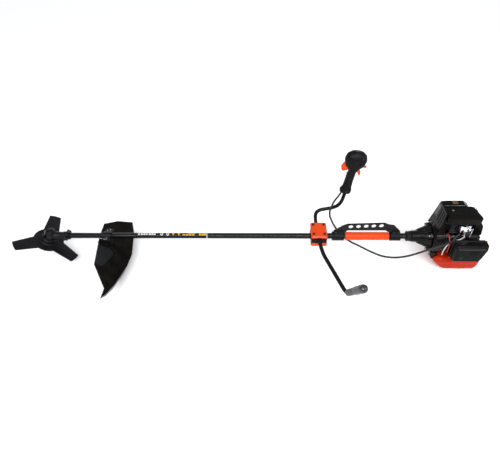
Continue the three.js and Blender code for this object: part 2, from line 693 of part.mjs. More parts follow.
function addMuffler() {
  const can = chamferedBox([798, 46, 2], [862, 96, 76], 9);
  const port = chamferedBox([808, 33.4, 62], [844, 50, 72], 1);
  const outlet = rodX(7, 855, 874, 12).translate(0, 84, 26);
  part('muffler', joined(can, port, outlet), dark);
}

function addFuelTank() {
  const side = 76;
  const tank = hull([
    [752, -66, -58], [930, -66, -58], [752, 66, -58], [930, 66, -58],
    [756, -side, -76], [950, -side, -80], [756, side, -76], [950, side, -80],
    [782, -side, -108], [948, -side, -106], [782, side, -108], [948, side, -106],
    [806, -68, GROUND], [932, -68, GROUND], [806, 68, GROUND], [932, 68, GROUND],
  ]);
  const filler = rodZ(13, -80, -46, 16).translate(826, -61, 0);
  const fanWay = rodX(FAN_RADIUS + 1, FAN_START - 40, FAN_END + 7, 28);
  const starterWay = rodX(64, 868, 930);
  part('fuel_tank', cut(joined(tank, filler), fanWay, starterWay), orange);
  const cap = turnedZ([[0, -45.7], [16, -45.7], [16, -36], [13.5, -33.5], [0, -33.5]], 16);
  part('fuel_cap', cap.translate(826, -61, 0), black);
}

// ---------------------------------------------------------------- cable, fuel line and wire

const THROTTLE_CABLE = [
  [380, 117, 138], [371, 114, 122], [356, 110, 98], [347, 105, 75], [340, 98, 53], [341, 90, 31],
  [346, 84, 19], [355, 72, 3], [371, 52, -14], [392, 32, -28], [410, 14, -33], [430, -5, -34], [454, -20, -36],
  [499, -50, -40], [544, -74, -42], [590, -84, -40], [636, -82, -35], [680, -84, -13], [718, -88, 15],
  [757, -88, 34], [784, -83, 44], [799, -76, 51], [809, -67, 61], [823, -60, 72],
];

function addLines() {
  part('throttle_cable', bar(THROTTLE_CABLE, CABLE_RADIUS, CABLE_STEPS, { sides: 8 }), rubber);
  part('fuel_line', bar([
    [792, -52, -57], [790, -54, -40], [788, -62, -10], [792, -64, 12], [808, -60, 30], [834, -58, 38], [846, -62, 57],
  ], 2.5, 18, { sides: 8 }), white);
  part('stop_wire', bar([
    [806, -43, -30], [800, -58, -34], [794, -75, -12], [792, -79, 18], [789, -74, 44], [787, -56, 60], [788, -40, 54],
    [788, -36, 43],
  ], 1.8, 18, { sides: 8 }), red);
}

addShaft();
addGearHead();
addGuard();
addHandlebars();
addHandlebarClamp();
addLeftGrip();
addThrottleHandle();
addHangerRail();
addClutch();
addCrank();
addFanHousing();
addCrankcase();
addCylinder();
addTopCover();
addRearShroud();
addRecoilStarter();
addCarburettor();
addAirCleaner();
addMuffler();
addFuelTank();
addLines();

// Stand the machine on the ground, with the middle of its outline over the origin.
const brushCutter = new THREE.Group();
brushCutter.add(machine);
const bounds = new THREE.Box3().setFromObject(machine, true);
const middle = bounds.getCenter(new THREE.Vector3());
machine.position.set(-middle.x, -middle.y, -bounds.min.z);

export default brushCutter;
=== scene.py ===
import json
import math

import bmesh
import bpy
from mathutils import Matrix, Vector


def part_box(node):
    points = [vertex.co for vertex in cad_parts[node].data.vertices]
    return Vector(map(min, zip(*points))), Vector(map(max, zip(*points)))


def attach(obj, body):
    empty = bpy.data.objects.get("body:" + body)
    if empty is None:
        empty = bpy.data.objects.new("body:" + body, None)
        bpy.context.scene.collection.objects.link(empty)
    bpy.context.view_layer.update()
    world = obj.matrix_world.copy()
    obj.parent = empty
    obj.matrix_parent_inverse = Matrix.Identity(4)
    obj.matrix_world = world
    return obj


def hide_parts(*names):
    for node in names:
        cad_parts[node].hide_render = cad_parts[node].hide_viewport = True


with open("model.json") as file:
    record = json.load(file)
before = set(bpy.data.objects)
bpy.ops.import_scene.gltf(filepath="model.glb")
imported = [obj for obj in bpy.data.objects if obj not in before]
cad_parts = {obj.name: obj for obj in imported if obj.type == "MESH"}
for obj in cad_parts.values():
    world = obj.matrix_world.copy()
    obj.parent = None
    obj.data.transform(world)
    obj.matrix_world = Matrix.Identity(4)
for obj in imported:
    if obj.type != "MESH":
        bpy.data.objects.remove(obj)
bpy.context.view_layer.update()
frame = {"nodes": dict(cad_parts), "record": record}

# ---------------------------------------------------------------- the shaft frame
# Lengths are millimetres in the shaft frame, but metres for lights, floor and shader distances.
# X runs along the shaft from blade to engine, Y to the operator's right, Z up. The outer tube's
# box says where that frame lies.

TUBE_START = -805.0
TUBE_END = 690.0
TUBE_RADIUS = 12.0
HEAD_X = -879.0
HEAD_TILT = math.radians(30)
GUARD_X = -618.0
CLAMP_X = 287.0
BAR_RADIUS = 8.0
MM = 0.001

tube_low, tube_high = (Vector(corner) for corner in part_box("outer_tube"))
SHAFT_ORIGIN = Vector((
    tube_low.x - TUBE_START * MM,
    (tube_low.y + tube_high.y) / 2,
    (tube_low.z + tube_high.z) / 2,
))
SHAFT = Matrix.Translation(SHAFT_ORIGIN) @ Matrix.Scale(MM, 4)


def tilted(x):
    """A frame on the shaft axis whose Z axis is the blade axis."""
    return SHAFT @ Matrix.Translation((x, 0, 0)) @ Matrix.Rotation(HEAD_TILT, 4, "Y")


HEAD = tilted(HEAD_X)
GUARD = tilted(GUARD_X)
HANDLE_BASE = Vector((398, 120, 149))
HANDLE_AXIS = Vector((23, 12, 141)).normalized()
HANDLE = (
    SHAFT
    @ Matrix.Translation(HANDLE_BASE)
    @ Vector((0, 0, 1)).rotation_difference(HANDLE_AXIS).to_matrix().to_4x4()
)

# ---------------------------------------------------------------- camera, light and floor


def add_camera():
    """A view from the operator's left, about 43 degrees above the shaft."""
    data = bpy.data.cameras.new("camera")
    data.sensor_width = 36.0
    data.lens = 29.74
    data.clip_end = 50.0
    camera = bpy.data.objects.new("camera", data)
    right = Vector((0.99782, 0.04790, -0.04530))
    up = Vector((0.0, 0.68709, 0.72657))
    back = right.cross(up).normalized()
    place = SHAFT @ Vector((115.6, -1239.6, 1235.0))
    turn = Matrix((right, up, back)).transposed()
    camera.matrix_world = Matrix.Translation(place) @ turn.to_4x4()
    bpy.context.scene.collection.objects.link(camera)
    bpy.context.scene.camera = camera


def add_area(name, place, target, size, power):
    """A rectangular light, turned to face the target."""
    data = bpy.data.lights.new(name, "AREA")
    data.shape = "RECTANGLE"
    data.size, data.size_y = size
    data.energy = power
    light = bpy.data.objects.new(name, data)
    light.location = place
    aim = Vector(target) - Vector(place)
    light.rotation_euler = aim.to_track_quat("-Z", "Y").to_euler()
    bpy.context.scene.collection.objects.link(light)


def add_studio():
    """A pale floor and sky under a broad sun, with area lights for the highlights."""
    add_sky()
    add_sun()
    add_area("front", (0.12, -1.35, 1.62), (0.1, 0.05, 0.1), (3.0, 0.05), 34)
    add_area("engine_fill", (1.9, -0.5, 1.0), (0.85, 0.05, 0.15), (0.5, 0.5), 5)
    add_area("rim", (-0.2, 2.2, 0.9), (0.1, 0.1, 0.12), (3.0, 0.3), 14)
    add_floor()


def add_sky():
    bpy.context.scene.view_settings.view_transform = "Standard"
    world = bpy.data.worlds.new("studio")
    world.use_nodes = True
    background = world.node_tree.nodes["Background"]
    background.inputs["Color"].default_value = (0.96, 0.97, 1.0, 1.0)
    background.inputs["Strength"].default_value = 0.66
    bpy.context.scene.world = world


def add_sun():
    """A broad sun from the camera's side, so that its soft shadows fall behind the object."""
    sun = bpy.data.lights.new("sun", "SUN")
    sun.energy = 1.5
    sun.angle = math.radians(70)
    lamp = bpy.data.objects.new("sun", sun)
    lamp.rotation_euler = Vector((-0.06, 0.62, -0.78)).to_track_quat("-Z", "Y").to_euler()
    bpy.context.scene.collection.objects.link(lamp)


def add_floor():
    mesh = bpy.data.meshes.new("floor")
    reach = 30
    corners = [(-reach, -reach, 0), (reach, -reach, 0), (reach, reach, 0), (-reach, reach, 0)]
    mesh.from_pydata(corners, [], [(0, 1, 2, 3)])
    floor = bpy.data.objects.new("floor", mesh)
    bpy.context.scene.collection.objects.link(floor)
    mesh.materials.append(material("floor_paper", (0.97, 0.97, 0.97), 0.95, specular=0.1))


# ---------------------------------------------------------------- materials

WEAR_REACH = 0.0012  # metres from an edge that its wear spreads
GRAIN_DEPTH = 0.0002  # metres

def material(name, color, roughness, metallic=0.0, coat=0.0, vary=0.0, grain=None, wear=None,
             rough_vary=0.0, specular=0.5):
    """A principled surface with procedural colour, roughness, grain and edge wear.

    grain is (features per metre, bump strength); wear is the colour seen through on sharp edges.
    """
    made = bpy.data.materials.new(name)
    made.use_nodes = True
    made.diffuse_color = (*color, 1)
    tree = made.node_tree
    nodes, links = tree.nodes, tree.links
    shader = nodes["Principled BSDF"]
    shader.inputs["Base Color"].default_value = (*color, 1)
    shader.inputs["Roughness"].default_value = roughness
    shader.inputs["Metallic"].default_value = metallic
    shader.inputs["Coat Weight"].default_value = coat
    shader.inputs["Coat Roughness"].default_value = 0.08
    shader.inputs["Specular IOR Level"].default_value = specular
    place = nodes.new("ShaderNodeTexCoord").outputs["Object"]

    def noise(scale, detail=3.0):
        node = nodes.new("ShaderNodeTexNoise")
        node.inputs["Scale"].default_value = scale
        node.inputs["Detail"].default_value = detail
        links.new(place, node.inputs["Vector"])
        return node.outputs["Fac"]

    def spread(value, low, high, start=0.3, stop=0.7):
        node = nodes.new("ShaderNodeMapRange")
        node.inputs["From Min"].default_value = start
        node.inputs["From Max"].default_value = stop
        node.inputs["To Min"].default_value = low
        node.inputs["To Max"].default_value = high
        links.new(value, node.inputs["Value"])
        return node.outputs["Result"]

    tint = None
    if vary:
        mix = nodes.new("ShaderNodeMix")
        mix.data_type = "RGBA"
        mix.inputs["A"].default_value = (*[c * (1 - vary) for c in color], 1)
        mix.inputs["B"].default_value = (*[min(1, c * (1 + vary) + 0.002 * vary) for c in color], 1)
        links.new(spread(noise(24.0), 0, 1), mix.inputs["Factor"])
        tint = mix.outputs["Result"]
    if wear:
        rounded = nodes.new("ShaderNodeBevel")
        rounded.samples = 4
        rounded.inputs["Radius"].default_value = WEAR_REACH
        product = nodes.new("ShaderNodeVectorMath")
        product.operation = "DOT_PRODUCT"
        links.new(rounded.outputs["Normal"], product.inputs[0])
        links.new(nodes.new("ShaderNodeNewGeometry").outputs["Normal"], product.inputs[1])
        mask = spread(product.outputs["Value"], 1, 0, 0.80, 0.97)
        broken = nodes.new("ShaderNodeMath")
        broken.operation = "MULTIPLY"
        links.new(mask, broken.inputs[0])
        links.new(spread(noise(160.0, 6.0), 0, 1, 0.42, 0.6), broken.inputs[1])
        mix = nodes.new("ShaderNodeMix")
        mix.data_type = "RGBA"
        mix.inputs["A"].default_value = (*color, 1)
        if tint:
            links.new(tint, mix.inputs["A"])
        mix.inputs["B"].default_value = (*wear, 1)
        links.new(broken.outputs["Value"], mix.inputs["Factor"])
        tint = mix.outputs["Result"]
    if tint:
        links.new(tint, shader.inputs["Base Color"])
    if rough_vary:
        low, high = max(0.02, roughness - rough_vary), min(1, roughness + rough_vary)
        links.new(spread(noise(70.0, 5.0), low, high), shader.inputs["Roughness"])
    if grain:
        features, strength = grain
        bump = nodes.new("ShaderNodeBump")
        bump.inputs["Strength"].default_value = strength
        bump.inputs["Distance"].default_value = GRAIN_DEPTH
        links.new(noise(features, 2.0), bump.inputs["Height"])
        links.new(bump.outputs["Normal"], shader.inputs["Normal"])
    return made


GLOSS = material("gloss_black_paint", (0.002, 0.002, 0.0023), 0.06, vary=0.2, rough_vary=0.02,
                 grain=(400, 0.01), specular=0.2)
BLACK = material("moulded_black", (0.003, 0.003, 0.0036), 0.36, vary=0.3, rough_vary=0.05,
                 grain=(2600, 0.14), specular=0.1)
SHELL = material("glossy_moulded_black", (0.0022, 0.002, 0.0018), 0.2, vary=0.4, rough_vary=0.04,
                 grain=(900, 0.03), specular=0.12)
COVER = material("cover_black", (0.0026, 0.0022, 0.0018), 0.24, vary=0.35, rough_vary=0.05,
                 grain=(1400, 0.05), specular=0.06)
GUARD_SHELL = material("guard_black", (0.0032, 0.0024, 0.0016), 0.22, vary=0.6, rough_vary=0.05,
                       grain=(700, 0.04), specular=0.06)
# A paler, bluer copy of the guard's black: painted light on the guard's raised panel.
LIT_FACET = material("guard_facet_painted_light", (0.0075, 0.008, 0.0086), 0.3, vary=0.2, rough_vary=0.05,
                 grain=(900, 0.05), specular=0.1)
PAINTED = material("black_painted_metal", (0.0026, 0.0026, 0.003), 0.24, vary=0.2, rough_vary=0.05,
                   grain=(700, 0.06), wear=(0.03, 0.03, 0.034), specular=0.16)
RUBBER = material("black_rubber", (0.0035, 0.0035, 0.0035), 0.6, vary=0.3, rough_vary=0.08,
                  grain=(1500, 0.3), specular=0.2)
CABLE = material("cable_sheath", (0.007, 0.007, 0.008), 0.4, vary=0.2, rough_vary=0.06,
                 grain=(1200, 0.1), specular=0.3)
ORANGE = material("orange_plastic", (0.56, 0.048, 0.005), 0.26, vary=0.05, rough_vary=0.05,
                  grain=(1600, 0.08), specular=0.14)
# A darker copy of the orange plastic: painted shade on the fuel tank and its filler neck.
SHADED_ORANGE = material("shaded_tank_orange", (0.36, 0.017, 0.002), 0.24, vary=0.05, rough_vary=0.05,
                       grain=(1600, 0.05), specular=0.1)
BLADE = material("blade_steel", (0.0055, 0.0052, 0.0066), 0.34, metallic=0.1, vary=0.3, rough_vary=0.06,
                 grain=(1500, 0.06), wear=(0.035, 0.035, 0.04), specular=0.14)
STEEL = material("bright_steel", (0.36, 0.37, 0.39), 0.28, metallic=1.0, vary=0.15, rough_vary=0.08,
                 grain=(900, 0.1))
DARK_STEEL = material("blackened_steel", (0.02, 0.02, 0.023), 0.3, metallic=0.7, vary=0.2, rough_vary=0.08,
                      grain=(900, 0.08))
ALLOY = material("cast_aluminium", (0.2, 0.2, 0.215), 0.42, metallic=1.0, vary=0.15, rough_vary=0.1,
                 grain=(1100, 0.3))
CHROME = material("polished_alloy", (0.8, 0.82, 0.86), 0.13, metallic=1.0, vary=0.08, rough_vary=0.05,
                  grain=(600, 0.04))
GREY_GRIP = material("grey_grip", (0.012, 0.012, 0.0135), 0.24, vary=0.35, rough_vary=0.06,
                     grain=(700, 0.06), coat=0.25)
BROWN_GRIP = material("grip_neck", (0.014, 0.012, 0.009), 0.3, vary=0.4, rough_vary=0.06,
                      grain=(900, 0.12))
RED = material("red_plastic", (0.42, 0.006, 0.01), 0.32, vary=0.08, rough_vary=0.06, grain=(1200, 0.08))
CLEAR = material("fuel_line", (0.6, 0.6, 0.58), 0.3, vary=0.05, rough_vary=0.06, grain=(900, 0.05))
WHITE_INK = material("white_print", (0.62, 0.62, 0.6), 0.4, vary=0.05, rough_vary=0.06,
                     grain=(2000, 0.05))
YELLOW_INK = material("yellow_print", (0.62, 0.31, 0.012), 0.4, vary=0.1, rough_vary=0.06,
                      grain=(2000, 0.05))
FADED_INK = material("faded_label", (0.07, 0.038, 0.004), 0.35, vary=0.3, rough_vary=0.06,
                     grain=(2000, 0.05))
# A pale grey for the grille's worn print, and also a painted highlight along the top cover's edge.
PALE_PRINT_AND_HIGHLIGHT = material("worn_print_and_painted_highlight", (0.2, 0.2, 0.19), 0.4, vary=0.4, rough_vary=0.06,
                       grain=(2000, 0.05))
# A blue-grey painted highlight for the glint along the air cleaner lid's edge.
EDGE_HIGHLIGHT_GREY = material("painted_edge_highlight", (0.012, 0.014, 0.022), 0.2, vary=0.2, rough_vary=0.04,
                 grain=(900, 0.03))
# Near-black painted shade, standing in for the dark inside slots, holes, vents, grooves, seams and recess
# floors.
SHADOW_GAP = material("shadow_gap", (0.0012, 0.0012, 0.0012), 0.7, vary=0.1, rough_vary=0.05,
                grain=(900, 0.05), specular=0.1)

# ---------------------------------------------------------------- mesh helpers


def piece(mesh, surface, body="machine", smooth=40, bevel=None, replaces=()):
    """Links a mesh as a finished piece of the same name: shading, bevel, surface, body and nodes."""
    thing = bpy.data.objects.new(mesh.name, mesh)
    bpy.context.scene.collection.objects.link(thing)
    mesh.materials.clear()
    mesh.materials.append(surface)
    mesh.shade_smooth()
    mesh.set_sharp_from_angle(angle=math.radians(smooth))
    if bevel:
        width, segments = bevel
        edges = thing.modifiers.new("edges", "BEVEL")
        edges.width = width * MM
        edges.segments = segments
        edges.limit_method = "ANGLE"
        edges.angle_limit = math.radians(smooth if smooth < 60 else 35)
        edges.harden_normals = True
    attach(thing, body)
    for node in replaces:
        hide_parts(node)
    return thing


def mesh_from(name, verts, faces, place=SHAFT):
    mesh = bpy.data.meshes.new(name)
    mesh.from_pydata([place @ Vector(v) for v in verts], [], faces)
    mesh.validate()
    tidy = bmesh.new()
    tidy.from_mesh(mesh)
    bmesh.ops.remove_doubles(tidy, verts=tidy.verts, dist=1e-6)
    bmesh.ops.recalc_face_normals(tidy, faces=tidy.faces)
    tidy.to_mesh(mesh)
    tidy.free()
    return mesh


def ring_mesh(name, rings, place=SHAFT, closed=False):
    """Skins rings of points; the ends are capped unless the last ring joins the first."""
    sides = len(rings[0])
    verts = [point for ring in rings for point in ring]
    faces = []
    spans = len(rings) if closed else len(rings) - 1
    for k in range(spans):
        low, high = k * sides, (k + 1) % len(rings) * sides
        faces += [
            (low + i, low + (i + 1) % sides, high + (i + 1) % sides, high + i) for i in range(sides)
        ]
    if not closed:
        faces.append(tuple(range(sides))[::-1])
        faces.append(tuple(range((len(rings) - 1) * sides, len(rings) * sides)))
    return mesh_from(name, verts, faces, place)


def turned(name, profile, place=SHAFT, sides=48, axis="Z"):
    """A body of revolution; profile holds (radius, height) points and is closed if it has a bore."""
    closed = profile[0] == profile[-1]
    points = profile[:-1] if closed else profile
    rings = []
    for radius, height in points:
        ring = []
        for i in range(sides):
            a = 2 * math.pi * i / sides
            c, s = max(radius, 0.001) * math.cos(a), max(radius, 0.001) * math.sin(a)
            ring.append((c, s, height) if axis == "Z" else (height, c, s))
        rings.append(ring)
    return ring_mesh(name, rings, place, closed)


def spline(points, count):
    """A uniform Catmull-Rom curve through the points, in equal parameter steps."""
    pts = [Vector(p) for p in points]
    pts = [pts[0] * 2 - pts[1]] + pts + [pts[-1] * 2 - pts[-2]]
    out = []
    spans = len(pts) - 3
    for k in range(count + 1):
        u = k / count * spans
        i = min(int(u), spans - 1)
        t = u - i
        a, b, c, d = pts[i:i + 4]
        out.append(0.5 * (2 * b + (c - a) * t + (2 * a - 5 * b + 4 * c - d) * t * t
                          + (3 * b - a - 3 * c + d) * t * t * t))
    return out


def sweep(name, points, radius, steps, sides=20, place=SHAFT):
    """A round bar along a smooth curve. radius is a number or a function of the share travelled."""
    line = spline(points, steps)
    size = radius if callable(radius) else (lambda share: radius)
    normal = Vector((0, 0, 1)).cross(line[1] - line[0])
    if normal.length < 1e-3:
        normal = Vector((1, 0, 0))
    rings = []
    for k, centre in enumerate(line):
        ahead = line[min(k + 1, steps)] - line[max(k - 1, 0)]
        ahead.normalize()
        normal = (normal - ahead * normal.dot(ahead)).normalized()
        side = ahead.cross(normal)
        r = size(k / steps)
        rings.append([
            centre + (normal * math.cos(a) + side * math.sin(a)) * r
            for a in (2 * math.pi * i / sides for i in range(sides))
        ])
    return ring_mesh(name, rings, place)


def prism(name, outline, low, high, place=SHAFT, plane="XY"):
    """A flat outline with a thickness; plane XZ takes the thickness along Y."""
    def point(a, b, h):
        return (a, b, h) if plane == "XY" else (a, h, b)

    count = len(outline)
    verts = [point(a, b, low) for a, b in outline] + [point(a, b, high) for a, b in outline]
    faces = [(i, (i + 1) % count, count + (i + 1) % count, count + i) for i in range(count)]
    faces += [tuple(range(count))[::-1], tuple(range(count, 2 * count))]
    return mesh_from(name, verts, faces, place)


def block(name, low, high, place=SHAFT):
    outline = [(low[0], low[1]), (high[0], low[1]), (high[0], high[1]), (low[0], high[1])]
    return prism(name, outline, low[2], high[2], place)


def plate(name, corners, normal, thickness, surface, bevel=0.6):
    """A thin plate on a plane: its corners in order, raised by its thickness along the normal."""
    lift = Vector(normal).normalized() * thickness
    low = [Vector(c) - lift * 0.3 for c in corners]
    high = [Vector(c) + lift for c in corners]
    count = len(corners)
    faces = [(i, (i + 1) % count, count + (i + 1) % count, count + i) for i in range(count)]
    faces += [tuple(range(count))[::-1], tuple(range(count, 2 * count))]
    return piece(mesh_from(name, low + high, faces), surface, bevel=(bevel, 3))


def rounded_rectangle(x0, x1, half, radius, height, steps=8):
    """A level ring from x0 to x1, half wide each side of the shaft, with round corners."""
    ring = []
    corners = ((x1 - radius, half - radius, 0), (x0 + radius, half - radius, 90),
               (x0 + radius, radius - half, 180), (x1 - radius, radius - half, 270))
    for cx, cy, start in corners:
        for k in range(steps + 1):
            a = math.radians(start + 90 * k / steps)
            ring.append((cx + radius * math.cos(a), cy + radius * math.sin(a), height))
    return ring


def body_of_node(node):
    """The name of the rigid body that a CAD node belongs to."""
    for body, members in frame["record"]["behaviour"]["bodies"].items():
        if node in members:
            return body
    raise ValueError(node)


def refined(node, surface, bevel=(1.0, 3), smooth=32):
    """The CAD node's own shape with its flat faces joined, its edges rounded and a real surface."""
    source = frame["nodes"][node]
    mesh = source.data.copy()
    mesh.name = node + "_look"
    work = bmesh.new()
    work.from_mesh(mesh)
    work.transform(source.matrix_world)
    bmesh.ops.remove_doubles(work, verts=work.verts, dist=2e-6)
    bmesh.ops.dissolve_limit(work, angle_limit=math.radians(1.0), verts=work.verts, edges=work.edges)
    work.to_mesh(mesh)
    work.free()
    return piece(mesh, surface, body_of_node(node), smooth, bevel, replaces=(node,))


def socket_screw(name, place, radius, height, surface):
    """A cap screw's head with a round socket, standing on the plane z = 0 of its place."""
    mesh = turned(name, [
        (0, height * 0.35), (radius * 0.5, height * 0.35), (radius * 0.5, height * 0.95),
        (radius * 0.6, height), (radius * 0.88, height), (radius, height * 0.85), (radius, 0), (0, 0),
    ], place, 36)
    return piece(mesh, surface, smooth=35)


def facing(x, y, z, axis, turn):
    """A place in the shaft frame whose Z axis is turned about the named axis by some degrees."""
    return SHAFT @ Matrix.Translation((x, y, z)) @ Matrix.Rotation(math.radians(turn), 4, axis)


FORWARD = ("Y", -90)  # a piece's Z axis then points towards the blade
BACKWARD = ("Y", 90)
LEFTWARD = ("X", 90)
RIGHTWARD = ("X", -90)

# ---------------------------------------------------------------- shaft


def add_shaft():
    tube = turned("tube_skin", [
        (10.5, TUBE_START), (11.6, TUBE_START), (12, TUBE_START + 0.5), (12, TUBE_END - 0.5),
        (11.6, TUBE_END), (10.5, TUBE_END), (10.5, TUBE_START),
    ], sides=64, axis="X")
    piece(tube, GLOSS, smooth=30, replaces=("outer_tube",))
    refined("drive_shaft", STEEL, (0.3, 1))
    refined("liner_bush", RUBBER, (0.3, 1))
    collar = turned("collar_skin", [
        (12.3, 646), (19, 646), (21, 647.5), (21, 651), (20, 652), (20, 655), (21, 656), (21, 661.5),
        (19.6, 663), (12.3, 663), (12.3, 646),
    ], sides=56, axis="X")
    piece(collar, RUBBER, smooth=30, replaces=("tube_collar",))
    start, end, radius = 397, 575, 17
    sleeve = turned("sleeve_skin", [
        (12.3, start), (15.6, start), (16.6, start + 0.6), (radius, start + 2), (radius, start + 3.4),
        (16.6, start + 4), (radius, start + 4.6), (radius, end - 4.6), (16.6, end - 4), (radius, end - 3.4),
        (radius, end - 2), (16.6, end - 0.6), (15.6, end), (12.3, end), (12.3, start),
    ], sides=64, axis="X")
    piece(sleeve, ORANGE, smooth=35, replaces=("protective_sleeve",))


PRINT_LIFT = 0.12  # how far a printed patch stands off the tube
MARK_LIFT = 0.24  # the same for a mark on top of a patch
PRINT_THICKNESS = 0.1
PRINT_ANGLE = math.radians(102.5)  # where the prints' middle lies, from the Y axis round to Z


def wrapped(name, outline, surface, lift=PRINT_LIFT):
    """A printed patch on the tube: outline points are (x, distance round the tube)."""
    grid = bmesh.new()
    flat = [grid.verts.new((x, s, 0)) for x, s in outline]
    grid.faces.new(flat)
    low = min(s for _, s in outline)
    high = max(s for _, s in outline)
    cuts = max(2, int((high - low) / 0.8))
    for k in range(1, cuts):
        s = low + (high - low) * k / cuts
        everything = grid.verts[:] + grid.edges[:] + grid.faces[:]
        bmesh.ops.bisect_plane(grid, geom=everything, plane_co=(0, s, 0), plane_no=(0, 1, 0))
    radius = TUBE_RADIUS + lift
    for vert in grid.verts:
        angle = PRINT_ANGLE + vert.co.y / TUBE_RADIUS
        vert.co = SHAFT @ Vector((vert.co.x, radius * math.cos(angle), radius * math.sin(angle)))
    thick = bmesh.ops.extrude_face_region(grid, geom=grid.faces[:])
    axis_y, axis_z = SHAFT_ORIGIN.y, SHAFT_ORIGIN.z
    for vert in (g for g in thick["geom"] if isinstance(g, bmesh.types.BMVert)):
        outward = Vector((0, vert.co.y - axis_y, vert.co.z - axis_z)).normalized()
        vert.co += outward * PRINT_THICKNESS * MM
    bmesh.ops.recalc_face_normals(grid, faces=grid.faces)
    mesh = bpy.data.meshes.new(name)
    grid.to_mesh(mesh)
    grid.free()
    return piece(mesh, surface, smooth=60)


def disc_outline(x, s, radius, sides=20):
    return [
        (x + radius * math.cos(2 * math.pi * i / sides), s + radius * math.sin(2 * math.pi * i / sides))
        for i in range(sides)
    ]


def add_labels():
    """Plain bars, discs and triangles where the tube carries its printed notices."""
    def bar(x0, x1, s0, s1):
        return [(x0, s0), (x1, s0), (x1, s1), (x0, s1)]
    for k in range(7):
        x = -481 + k * 11.6
        wrapped(f"notice_bar_{k + 1}", bar(x, x + (9.6 if k % 3 else 7.0), -3.4, 3.4), WHITE_INK)
    for k, x in enumerate((-378, -352)):
        wrapped(f"notice_disc_{k + 1}", disc_outline(x, 0, 6.2), WHITE_INK)
        wrapped(f"notice_disc_mark_{k + 1}", disc_outline(x, 0, 3.2), GLOSS, lift=MARK_LIFT)
    for k, x in enumerate((-328, -304)):
        wrapped(f"notice_triangle_{k + 1}", [(x - 7, -5), (x + 7, -5), (x, 6)], YELLOW_INK)
        mark = [(x - 1, -3), (x + 1, -3), (x, 2.5)]
        wrapped(f"notice_triangle_mark_{k + 1}", mark, GLOSS, lift=MARK_LIFT)
    for k in range(4):
        x = -287 + k * 13.4
        wrapped(f"notice_strip_{k + 1}", bar(x, x + 11, 1.0, 5.6), YELLOW_INK)
    wrapped("notice_line", bar(-265, -231, -4.4, -2.6), WHITE_INK)
    wrapped("notice_label", bar(-217, -187, -5.5, 5.5), YELLOW_INK)
    for k in range(3):
        rule = bar(-213, -196 - k * 4, -3.6 + k * 3, -2.4 + k * 3)
        wrapped(f"notice_label_rule_{k + 1}", rule, GLOSS, lift=MARK_LIFT)
    ring = turned("notice_ring", [(12, -184), (12.15, -184), (12.15, -181.5), (12, -181.5), (12, -184)],
                  sides=64, axis="X")
    piece(ring, WHITE_INK)


# ---------------------------------------------------------------- gear head and blade

BLADE_TOP = -31.3
BLADE_UNDER = BLADE_TOP - 2
BLADE_REACH = 143.0
TOOTH_TIP = 24.0
TOOTH_ROOT = 34.0
BLADE_DISC = 62.0
BLADE_SPIN = math.radians(99.5)


def blade_outline(inset=0.0):
    """Three straight-sided teeth on a round disc, drawn in by the width of the ground edge."""
    points = []
    tip_half = (TOOTH_TIP - inset) / BLADE_REACH
    root_half = (TOOTH_ROOT - inset) / BLADE_DISC
    reach = BLADE_REACH - inset
    disc = BLADE_DISC - inset * 0.3

    def polar(radius, angle):
        points.append((radius * math.cos(angle), radius * math.sin(angle)))

    def flank(share, side, middle):
        start = Vector((disc * math.cos(root_half), disc * math.sin(root_half)))
        stop = Vector((reach * math.cos(tip_half), reach * math.sin(tip_half)))
        at = start.lerp(stop, share)
        polar(at.length, middle + side * math.atan2(at.y, at.x))

    for tooth in range(3):
        middle = BLADE_SPIN + tooth * 2 * math.pi / 3
        for step in range(9):
            flank(step / 8, -1, middle)
        for step in range(1, 6):
            polar(reach + math.sin(math.pi * step / 6), middle - tip_half + 2 * tip_half * step / 6)
        for step in range(9):
            flank(1 - step / 8, 1, middle)
        span = 2 * math.pi / 3 - 2 * root_half
        for step in range(1, 14):
            polar(disc, middle + root_half + span * step / 14)
    return points


def add_blade():
    """The blade: a flat plate with a ground edge all round and a round bore."""
    bore = 12.7
    outer = blade_outline()
    inner = blade_outline(3.2)
    hole = [
        (bore * math.cos(a), bore * math.sin(a))
        for a in (math.atan2(y, x) for x, y in inner)
    ]
    layers = [
        [(x, y, BLADE_TOP) for x, y in hole],
        [(x, y, BLADE_TOP) for x, y in inner],
        [(x, y, BLADE_TOP - 0.75) for x, y in outer],
        [(x, y, BLADE_UNDER + 0.75) for x, y in outer],
        [(x, y, BLADE_UNDER) for x, y in inner],
        [(x, y, BLADE_UNDER) for x, y in hole],
    ]
    mesh = ring_mesh("blade_plate", layers, HEAD, closed=True)
    piece(mesh, BLADE, "blade_spindle", smooth=12, replaces=("blade",))


